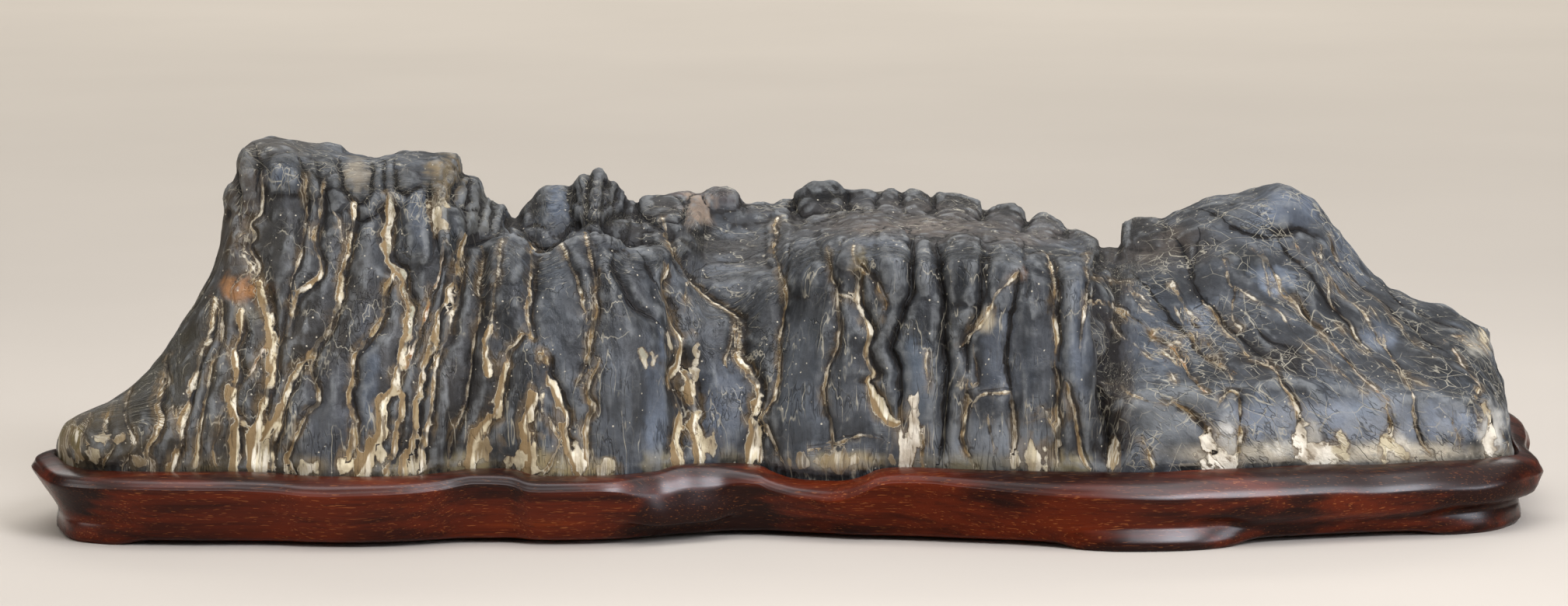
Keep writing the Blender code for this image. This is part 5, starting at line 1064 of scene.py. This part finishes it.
def carveStone(piece, line):
    points, normals = meshPoints(piece)
    cosTilt, sinTilt = math.cos(drawing["tilt"]), math.sin(drawing["tilt"])
    towardEye = -normals[:, 1] * cosTilt + normals[:, 2] * sinTilt
    front = ease(towardEye, -0.05, 0.25)
    back = ease(normals[:, 1], 0.15, 0.5)
    upward = ease(normals[:, 2], 0.5, 0.85)
    seen = toDrawing(points)
    right = ease(seen[:, 0], *stone["slantFrom"])
    # every line wanders by a millimetre or so, widely and finely
    wander = np.column_stack([clouds(points, 11, 5), clouds(points, 11, 6)]) * 1.1
    wander += np.column_stack([clouds(points, 3.6, 7), clouds(points, 3.6, 8)]) * 0.4
    lean = np.column_stack([normals[:, 0], normals[:, 1] * sinTilt + normals[:, 2] * cosTilt])
    # the grain: upright ribs at the left and in the middle, slanting down to the right beyond them
    slant = np.column_stack([
        points[:, 0] * (1 - 0.45 * right) + points[:, 2] * 0.62 * right,
        points[:, 1],
        points[:, 2] * (1 - right) * 0.14 + right * (points[:, 2] * 0.2 - points[:, 0] * 0.2),
    ])
    swell = clouds(slant, 2.6, 9) + 0.5 * clouds(points, 2.4, 10)
    seenField = drawLines(seen + wander, lean, frontLines, frontPatches, swell)
    lines, marks = backLines(stone["seed"])
    behind = drawLines(points[:, [0, 2]] + wander, normals[:, [0, 2]], lines, marks, swell)
    eyeSide = towardEye > 0.04
    print("stone: lines laid")

    lumps = np.zeros(len(points))
    for u, v, halfWidth, halfHeight, height in frontLumps:
        reach = ((seen[:, 0] - u) / halfWidth) ** 2 + ((seen[:, 1] - v) / halfHeight) ** 2
        lumps += height * np.clip(1 - reach / 2.2, 0, 1) ** 1.5
    rough = np.column_stack([clouds(points, 6, 15), clouds(points, 6, 16)]) * 1.3
    dome, gap = domes(seen + rough + 0.4 * wander, frontKnobs)
    size, part = stone["lumpSize"], stone["relief"]
    ribs = clouds(slant, size["ribs"], 21) + 0.4 * clouds(slant, size["fineRibs"], 22)
    wrinkles = np.abs(clouds(slant, size["wrinkles"], 24))
    coarse = clouds(points, size["coarse"], 31) + 0.5 * clouds(points, size["middling"], 32)
    fine = clouds(points, size["fine"], 35)
    knobby, small = knobs(points, size["knobby"], 3.0), knobs(points, size["small"], 9.0)
    lumpy = np.interp(seen[:, 0], *zip(*stone["knobby"]))
    crown = ease(seen[:, 1], *stone["crownFrom"]) * lumpy
    sides = 1 - upward
    onSides = part["ribs"] * ribs + part["coarse"] * coarse
    onSides = onSides - part["wrinkles"] * wrinkles + part["fine"] * fine
    onTop = part["knobbyTop"] * lumpy * knobby + part["smallTop"] * lumpy * small
    onTop = onTop + part["coarseTop"] * coarse
    relief = sides * onSides + upward * onTop
    slanting = part["rightRibs"] + part["rightRibs"] * ease(seen[:, 1], 36, 46)
    relief += sides * crown * (part["crown"] * knobby + part["crown"] * small) + right * slanting * ribs
    relief += front * (lumps + dome - part["gap"] * gap)
    relief += front * (1 - 0.4 * upward) * (seenField["proud"] - seenField["furrow"])
    relief += back * (behind["proud"] - behind["furrow"])
    rimHeight = nearestRim(points, line)[0]
    relief *= ease(points[:, 2], rimHeight - 1.0, rimHeight + stone["rimFade"])
    points = points + normals * relief[:, None]
    rimHeight, wall, outside = nearestRim(points, line)
    tucked = 1 - ease(points[:, 2], rimHeight, rimHeight + 3.0)
    points[:, :2] -= wall * (np.maximum(outside + stone["wallGap"], 0) * tucked)[:, None]
    placePoints(piece, points)
    print("stone: carved")

    # what the material reads: on the tops the grain lies level, and each side has the lines drawn on it
    level = (upward * (1 - right))[:, None]
    slant = slant * (1 - level) + points * (0.45, 1, 1) * level
    grain = piece.data.attributes.new("grain", "FLOAT_VECTOR", "POINT")
    grain.data.foreach_set("vector", (slant * mm).astype(np.float32).ravel())
    for name in ("near", "side", "half", "amount", "tone", "crack", "crackSide"):
        chosen = eyeSide if seenField[name].ndim == 1 else eyeSide[:, None]
        keepValues(piece, name, np.where(chosen, seenField[name], behind[name]))
    craze = 0.14 + 0.86 * right + 0.4 * crown  # hairlines: most at the right and on the tops
    craze += 0.4 * ease(seen[:, 1], 94, 106) * ease(-seen[:, 0], 100, 112)
    keepValues(piece, "craze", np.minimum(craze, 1) * (0.2 + 0.8 * ease(seen[:, 0], -222, -200)))
    # how deep each point lies in a furrow or where domes meet: the material paints shade there
    depth = np.where(eyeSide, (seenField["furrow"] + 1.6 * gap) * front, behind["furrow"] * back)
    keepValues(piece, "depth", np.clip(depth / 3.0, 0, 1))
    # the washes: the stone's tints, with painted sheen and painted shadow among them
    stain = np.zeros((len(points), 4))
    mottle = 1 + 0.55 * clouds(points, 10, 41)
    ragged = 0.34 * clouds(slant, 5, 42) + 0.2 * clouds(points, 2.6, 43)
    for hexColour, u, v, halfWidth, halfHeight, amount in frontWashes:
        reach = np.hypot((seen[:, 0] - u) / halfWidth, (seen[:, 1] - v) / halfHeight)
        reach += ragged * np.clip(12 / halfWidth, 0.5, 1.6)
        share = np.clip(amount * mottle * (1 - ease(reach, 0.4, 1.3)), 0, 1) * ease(towardEye, -0.3, 0.1)
        stain[:, :3] = stain[:, :3] * (1 - share[:, None]) + np.array(linear(hexColour)) * share[:, None]
        stain[:, 3] = 1 - (1 - stain[:, 3]) * (1 - share)
    stain[:, :3] /= np.maximum(stain[:, 3:], 1e-3)
    keepValues(piece, "stain", stain)


def keepWear(piece):  # how far each point stands out of its neighbours: worn pale where it stands out, painted shade where it lies low
    points, normals = meshPoints(piece)
    pairs = np.empty(len(piece.data.edges) * 2, np.int32)
    piece.data.edges.foreach_get("vertices", pairs)
    pairs = pairs.reshape(-1, 2)
    evened = points.copy()  # becomes the mean of the points round each one
    for _ in range(3):
        total, number = np.zeros_like(evened), np.zeros(len(evened))
        for a, b in ((0, 1), (1, 0)):
            for k in range(3):
                total[:, k] += np.bincount(pairs[:, a], evened[pairs[:, b], k], len(evened))
            number += np.bincount(pairs[:, a], minlength=len(evened))
        evened = total / np.maximum(number, 1)[:, None]
    standsOut = ((points - evened) * normals).sum(axis=1)
    keepValues(piece, "wear", np.clip(standsOut / stone["wornAt"], -1, 1))


def selectPoints(piece, chosen):  # and nothing else, in edit mode
    bpy.context.view_layer.objects.active = piece
    piece.data.vertices.foreach_set("select", chosen)
    piece.data.edges.foreach_set("select", np.zeros(len(piece.data.edges), bool))
    piece.data.polygons.foreach_set("select", np.zeros(len(piece.data.polygons), bool))
    bpy.ops.object.mode_set(mode="EDIT")
    bpy.ops.mesh.select_mode(type="VERT")


def makeStone(line):
    piece = wrappedGrid("scholarsRock", stoneSections(line))
    placePoints(piece, meshPoints(piece)[0] * (stone["stretch"], 1, 1))
    useModifier(piece, "REMESH", mode="VOXEL", voxel_size=stone["voxel"] * mm)
    placePoints(piece, meshPoints(piece)[0] / (stone["stretch"], 1, 1))
    print("stone: even mesh of", len(piece.data.polygons))
    points = meshPoints(piece)[0]
    selectPoints(piece, points[:, 2] < stand["recessFloor"] + stone["underside"])
    bpy.ops.mesh.decimate(ratio=stone["undersideShare"])  # it is never seen
    bpy.ops.object.mode_set(mode="OBJECT")
    normals = meshPoints(piece)[1]
    towardEye = -normals[:, 1] * math.cos(drawing["tilt"]) + normals[:, 2] * math.sin(drawing["tilt"])
    selectPoints(piece, towardEye < stone["backFacing"])
    bpy.ops.mesh.decimate(ratio=stone["backShare"])
    bpy.ops.object.mode_set(mode="OBJECT")
    print("stone: thinned to", sum(len(face.vertices) - 2 for face in piece.data.polygons), "triangles")
    carveStone(piece, line)
    useModifier(piece, "SMOOTH", factor=stone["smoothing"], iterations=1)
    keepWear(piece)
    piece.data.shade_smooth()
    return piece


rock = {
    "dark": "#2b2e31", "grey": "#565a5f", "blue": "#6c7580", "shadow": "#141517", "bloom": "#868a8d",
    "crease": "#15110f", "worn": "#8a8d8d", "tanEdge": "#8a7350", "veinShade": "#453526", "bright": "#f4ecd8",
    "hairline": "#bab39f", "speck": "#cbc3af",
    "finish": {"Roughness": 0.42, "IOR": 1.5, "Specular IOR Level": 0.38},
    "noises": [  # name, along the grain or not, size of a lump in mm, detail, roughness
        ("big", False, 42, 2, 0.5), ("mid", False, 14, 4, 0.55), ("small", False, 4.2, 5, 0.6),
        ("grit", False, 1.1, 3, 0.65), ("along", False, 7, 2, 0.5), ("patchy", False, 20, 2, 0.5),
        ("flow", True, 8, 4, 0.55), ("combed", True, 1.7, 4, 0.6), ("splinter", True, 3.0, 3, 0.6),
        ("thread", True, 6.3, 3, 0.5), ("fineThread", True, 3.0, 3, 0.5), ("paleThread", True, 7.7, 3, 0.5),
    ],
    "skin": [  # noise, where it starts and ends, its share there, colour
        # the first layer is painted blue-grey sheen, in streaks along the grain
        ("flow", 0.5, 0.7, 0.0, 0.32, "blue"), ("flow", 0.5, 0.3, 0.0, 0.5, "shadow"),
        ("combed", 0.54, 0.72, 0.0, 0.14, "bloom"), ("small", 0.3, 0.5, 0.35, 0.0, "shadow"),
        ("mid", 0.56, 0.38, 0.0, 0.55, "shadow"), ("mid", 0.2, 0.6, 0.65, 1.1, "stain"),
        ("flow", 0.52, 0.72, 0.0, 0.12, "bloom"), ("splinter", 0.46, 0.3, 0.0, 0.4, "shadow"),
    ],
    "hairlines": [  # along the grain or not, stretch, size of a cell in mm, width as a share of the cell
        (True, 1.8, 7, 0.016), (False, 0.7, 17, 0.01), (True, 2.2, 4.0, 0.022),
    ],
    "bendLump": 12,  # the hairlines wander over this many mm
    "bendReach": 2.6,  # by this many mm
    "threads": [  # noise, width in its own units, from and to where they show
        ("thread", 0.018, 0.42, 0.56), ("fineThread", 0.028, 0.5, 0.6), ("paleThread", 0.012, 0.44, 0.56),
    ],
    "speckSpacing": 3.2,
    "bump": 0.8,
}


def limestoneMaterial():
    # dark siliceous limestone, river-worn and hand-waxed: a satin grey skin, pale veins, brown creases
    material, node, surface = newMaterial("river-worn waxed limestone", rock["finish"])
    place = node("TexCoord", out="Object")
    grain = node("Attribute", {"attribute_name": "grain"}, out="Vector")
    kept = {
        name: node("Attribute", {"attribute_name": name}, out="Fac")
        for name in ("near", "side", "half", "amount", "depth", "wear", "craze", "crack", "crackSide")
    }
    cloud = {}
    for name, alongGrain, lump, detail, rough in rock["noises"]:
        source = grain if alongGrain else place
        cloud[name] = node("TexNoise", Vector=source, Scale=1 / (lump * mm), Detail=detail, Roughness=rough)

    # the skin: greys, painted blue-grey sheen and dark streaks along the grain, with the washes between them:
    # tints, painted sheen and painted shadow
    stain = node("Attribute", {"attribute_name": "stain"}, out="Color")
    washShare = node("Attribute", {"attribute_name": "stain"}, out="Alpha")
    base = node("Mix", blend, node("MapRange", step, cloud["big"], 0.35, 0.65), rock["dark"], rock["grey"])
    for name, low, high, start, end, colour in rock["skin"]:
        share = node("MapRange", step, cloud[name], low, high, start, end)
        if colour == "stain":
            share = node("Math", times, washShare, share)
        base = node("Mix", blend, share, base, stain if colour == "stain" else rock[colour])

    # rubbed pale on what stands out; painted shade, dark brown, in hollows, in furrows and where domes meet
    rubbed = node("MapRange", step, cloud["small"], 0.35, 0.6, 0.15, 0.55)
    rubbed = node("Math", times, node("MapRange", step, kept["wear"], 0.15, 0.75), rubbed)
    base = node("Mix", blend, rubbed, base, rock["worn"])
    hollowShade = node("MapRange", step, kept["wear"], -0.7, -0.1, 0.8, 0.0)
    hollowShade = node("Math", add, hollowShade, node("Math", times, kept["depth"], 0.55))
    base = node("Mix", blend, hollowShade, base, rock["crease"])

    # hairlines, drawn 0.2 to 0.3 mm wide so that they show: two sets along the grain and one free of it
    bend = node("TexNoise", Vector=place, Scale=1 / (rock["bendLump"] * mm), Detail=2.0, out="Color")
    bend = node("VectorMath", scaled, bend, rock["bendReach"] * mm)
    tight = node("MapRange", step, cloud["mid"], 0.4, 0.54, 0.0, 0.9)
    shares = (
        node("MapRange", step, cloud["mid"], 0.4, 0.58),
        node("MapRange", step, cloud["along"], 0.45, 0.6, 0.0, 0.7),
        node("Math", times, node("MapRange", step, cloud["patchy"], 0.42, 0.56), tight),
    )
    crack = None
    for (alongGrain, stretch, cell, wide), share in zip(rock["hairlines"], shares):
        bent = node("VectorMath", openAdd, grain if alongGrain else place, bend)
        bent = node("Mapping", Vector=bent, Scale=(1.0, 1.0, stretch))
        line = node("TexVoronoi", edges, Vector=bent, Scale=1 / (cell * mm))
        line = node("Math", times, node("MapRange", step, line, 0.0, wide, 1.0, 0.0), share)
        crack = node("Math", most, crack, line) if crack else line
    crack = node("Math", times, crack, kept["craze"])
    strands = []
    for name, wide, low, high in rock["threads"]:
        line = node("Math", absolute, node("Math", take, cloud[name], 0.5))
        line = node("MapRange", step, line, 0.0, wide, 1.0, 0.0)
        strands.append(node("Math", times, line, node("MapRange", step, cloud["mid"], low, high)))

    # a plain distance never falls to nothing between two points of the mesh, so close by it is the signed one
    reach, distance = [
        node("Mix", {"data_type": "FLOAT"}, node("MapRange", step, kept[plain], 1.2, 1.6),
             node("Math", absolute, kept[signed]), kept[plain])
        for plain, signed in (("crack", "crackSide"), ("near", "side"))
    ]
    ragged = node("Math", take, cloud["splinter"], 0.5)
    torn = node("MapRange", step, node("Math", timesAdd, ragged, 1.2, reach), 0.12, 0.45, 1.0, 0.0)
    crease = node("Math", times, node("Math", most, strands[0], strands[1]), 0.65)
    crease = node("Math", most, crease, torn)
    base = node("Mix", blend, node("Math", times, crease, 0.85), base, rock["shadow"])
    pale = node("Math", most, node("Math", times, strands[2], 0.6), node("Math", times, crack, 0.75))
    base = node("Mix", blend, pale, base, rock["hairline"])
    speck = node("TexVoronoi", Vector=place, Scale=1 / (rock["speckSpacing"] * mm))
    speck = node("MapRange", step, speck, 0.07, 0.13, 1.0, 0.0)
    speck = node("Math", times, speck, node("MapRange", step, cloud["grit"], 0.47, 0.53))
    base = node("Mix", blend, node("Math", times, speck, 0.85), base, rock["speck"])

    # calcite veins: a crumbling edge, and a core that runs from tan to white
    crumble = node("Math", openTimes, node("Math", take, cloud["grit"], 0.5), 0.8)
    crumble = node("Math", openAdd, node("Math", openTimes, ragged, 2.1), crumble)
    inside = node("Math", openAdd, node("Math", take, kept["half"], distance), crumble)
    broken = node("MapRange", step, kept["half"], 0.7, 1.4)  # thin veins come and go
    broken = node("Math", most, broken, node("MapRange", step, cloud["along"], 0.4, 0.52, 0.2, 1.0))
    shown = node("Math", times, kept["amount"], broken)
    shown = node("Math", times, shown, node("MapRange", step, kept["half"], 0.2, 1.0, 0.6, 1.0))
    combing = node("MapRange", step, cloud["combed"], 0.34, 0.44, 0.45, 1.0)
    fill = node("MapRange", step, inside, -0.1, 0.25)
    fill = node("Math", times, fill, node("Math", times, shown, combing))
    core = node("MapRange", step, inside, 0.0, 0.4)
    across = node("MapRange", step, node("Math", timesAdd, ragged, 3.0, kept["side"]), -0.3, 0.4)
    across = node("Math", times, across, node("MapRange", step, cloud["along"], 0.36, 0.56, 0.45, 1.0))
    lit = node("Math", times, core, across)  # painted light: the vein's tone on one side as a highlight, tan-brown on the other as shade
    tone = node("Attribute", {"attribute_name": "tone"}, out="Color")
    vein = node("Mix", blend, lit, rock["tanEdge"], tone)
    white = node("Math", times, lit, node("MapRange", step, cloud["splinter"], 0.5, 0.6, 0.0, 0.85))
    vein = node("Mix", blend, white, vein, rock["bright"])
    brown = node("Math", times, core, node("MapRange", step, cloud["combed"], 0.46, 0.36, 0.0, 0.7))
    vein = node("Mix", blend, brown, vein, rock["tanEdge"])

    # what lies round them: a stained halo, a border of painted shade, painted shade in the gap on one side, a
    # painted glint along the edge
    halo = node("Math", times, shown, node("MapRange", step, cloud["mid"], 0.42, 0.62))
    halo = node("Math", times, node("MapRange", step, inside, -2.6, -0.4), halo)
    border = node("Math", times, node("MapRange", step, inside, -0.6, -0.1), shown)
    beside = node("Math", take, kept["side"], kept["half"])
    gap = node("MapRange", step, beside, 0.05, 0.4)
    gap = node("Math", times, gap, node("MapRange", step, beside, 1.3, 0.6))
    opened = node("Math", times, kept["amount"], node("MapRange", step, cloud["along"], 0.4, 0.58))
    gap = node("Math", times, gap, opened)
    base = node("Mix", blend, node("Math", times, halo, 0.45), base, rock["tanEdge"])
    base = node("Mix", blend, node("Math", times, border, 0.5), base, rock["veinShade"])
    # painted shade in the gap beside the vein
    gapShade = node("Math", times, gap, node("Math", times, kept["depth"], 0.9))
    base = node("Mix", blend, gapShade, base, rock["shadow"])
    base = node("Mix", blend, fill, base, vein)
    edgeGlint = node("Math", absolute, node("Math", take, inside, 0.1))
    edgeGlint = node("Math", times, node("MapRange", step, edgeGlint, 0.0, 0.22, 0.8, 0.0), shown)
    edgeGlint = node("Math", times, edgeGlint, node("MapRange", step, cloud["splinter"], 0.4, 0.5))
    base = node("Mix", blend, edgeGlint, base, rock["hairline"])
    surface.id_data.links.new(base, surface.inputs["Base Color"])

    rough = node("MapRange", step, cloud["small"], 0.3, 0.7, 0.32, 0.5)
    for part, share in ((fill, 0.2), (hollowShade, 0.2), (kept["craze"], 0.24)):
        rough = node("Math", add, rough, node("Math", times, part, share))
    surface.id_data.links.new(rough, surface.inputs["Roughness"])
    height = node("Math", add, node("Math", times, kept["craze"], 0.3), 0.35)
    height = node("Math", times, cloud["small"], height)
    height = node("Math", add, height, node("Math", times, cloud["grit"], 0.16))
    raised = ((cloud["flow"], 0.7), (cloud["combed"], 0.35), (fill, 0.1))
    lowered = ((crack, -0.1), (crease, -0.45), (gap, -0.4))
    for part, share in (*raised, *lowered):
        height = node("Math", timesAdd, part, share, height)
    bump = node("Bump", Strength=rock["bump"], Distance=1.0 * mm, Height=height)
    surface.id_data.links.new(bump, surface.inputs["Normal"])
    return material


studio = {
    "floor": 16.0,
    "paper": "#cac2b7",
    "paperFinish": {"Roughness": 0.9, "Specular IOR Level": 0.2},
    "sky": ("#eceae6", 0.08),
    "lights": [  # name, place in m, aimed at, size in m, power in W, colour
        ("overhead", (0.0, -0.35, 1.2), (0, 0.0, 0.05), (1.3, 0.8), 9.8, "#f8f8fc"),
        ("key", (0.65, -1.0, 1.05), (0, 0, 0.05), (0.55, 0.4), 13.4, "#f1f3fd"),
        ("window", (1.5, -0.95, 0.6), (0, 0, 0.06), (0.5, 0.6), 8.0, "#eef3ff"),
        ("left", (-1.4, -0.6, 0.7), (0, 0, 0.06), (0.5, 0.8), 4.6, "#fbf8f6"),
        ("behind", (0, 2.2, 2.0), (0, 2.6, 0), (3.8, 0.8), 50.0, "#fffcf8"),
        ("ceiling", (0, 0.4, 4.0), (0, 0.4, 0), (9.0, 9.0), 130.0, "#fffcf8"),
    ],
}


def paperMaterial():
    # seamless paper: matt, with the faintest fibre clouding
    material, node, surface = newMaterial("warm grey seamless paper", studio["paperFinish"])
    cloud = node("TexNoise", Vector=node("TexCoord", out="Object"), Scale=3.0, Detail=4.0)
    light = node("MapRange", None, cloud, 0.3, 0.7, 0.96, 1.02)
    paper = node("VectorMath", scaled, linear(studio["paper"]), light)
    surface.id_data.links.new(paper, surface.inputs["Base Color"])
    return material


def makeStudio():
    bpy.ops.object.select_all(action="DESELECT")
    bpy.ops.mesh.primitive_plane_add(size=studio["floor"], location=(0, 0, 0))
    table = bpy.context.object
    table.name = table.data.name = "paperTable"
    table.data.materials.append(paperMaterial())

    world = bpy.data.worlds.new("studio air")
    bpy.context.scene.world = world
    world.use_nodes = True
    air = world.node_tree.nodes["Background"]
    skyColour, skyStrength = studio["sky"]
    air.inputs["Color"].default_value = (*linear(skyColour), 1)
    air.inputs["Strength"].default_value = skyStrength
    for name, place, aim, size, power, colour in studio["lights"]:
        light = bpy.data.lights.new(name, "AREA")
        light.shape, light.size, light.size_y = "RECTANGLE", *size
        light.energy, light.color = power, linear(colour)
        holder = bpy.data.objects.new(name, light)
        holder.location = place
        holder.rotation_euler = (Vector(aim) - Vector(place)).to_track_quat("-Z", "Y").to_euler()
        bpy.context.scene.collection.objects.link(holder)
    print("studio: lit by", len(studio["lights"]), "lights")


camera = {"lens": 100.0, "sensor": 36.0, "clipStart": 0.05}  # in mm, mm and m


def makeCamera():
    eye = bpy.data.objects.new("eye", bpy.data.cameras.new("eye"))
    bpy.context.scene.collection.objects.link(eye)
    eye.data.lens, eye.data.sensor_width = camera["lens"], camera["sensor"]
    eye.data.clip_start = camera["clipStart"]
    aim = Vector((drawing["centre"][0] + drawing["shift"][0], drawing["shift"][1], drawing["centre"][1])) * mm
    away = Vector((0, -math.cos(drawing["tilt"]), math.sin(drawing["tilt"]))) * drawing["distance"] * mm
    eye.location = aim + away
    eye.rotation_euler = (-away).to_track_quat("-Z", "Y").to_euler()
    bpy.context.scene.camera = eye
    bpy.context.scene.view_settings.view_transform = "Standard"


makeStudio()
makeCamera()
rim = rimLine(360)
scholarsRock = makeStone(rim)
scholarsRock.data.materials.append(limestoneMaterial())
carvedStand = makeStand()
carvedStand.data.materials.append(rosewoodMaterial())
for piece, node in ((scholarsRock, "stone"), (carvedStand, "stand")):
    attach(piece, "root")
    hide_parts(node)
print("materials: set")
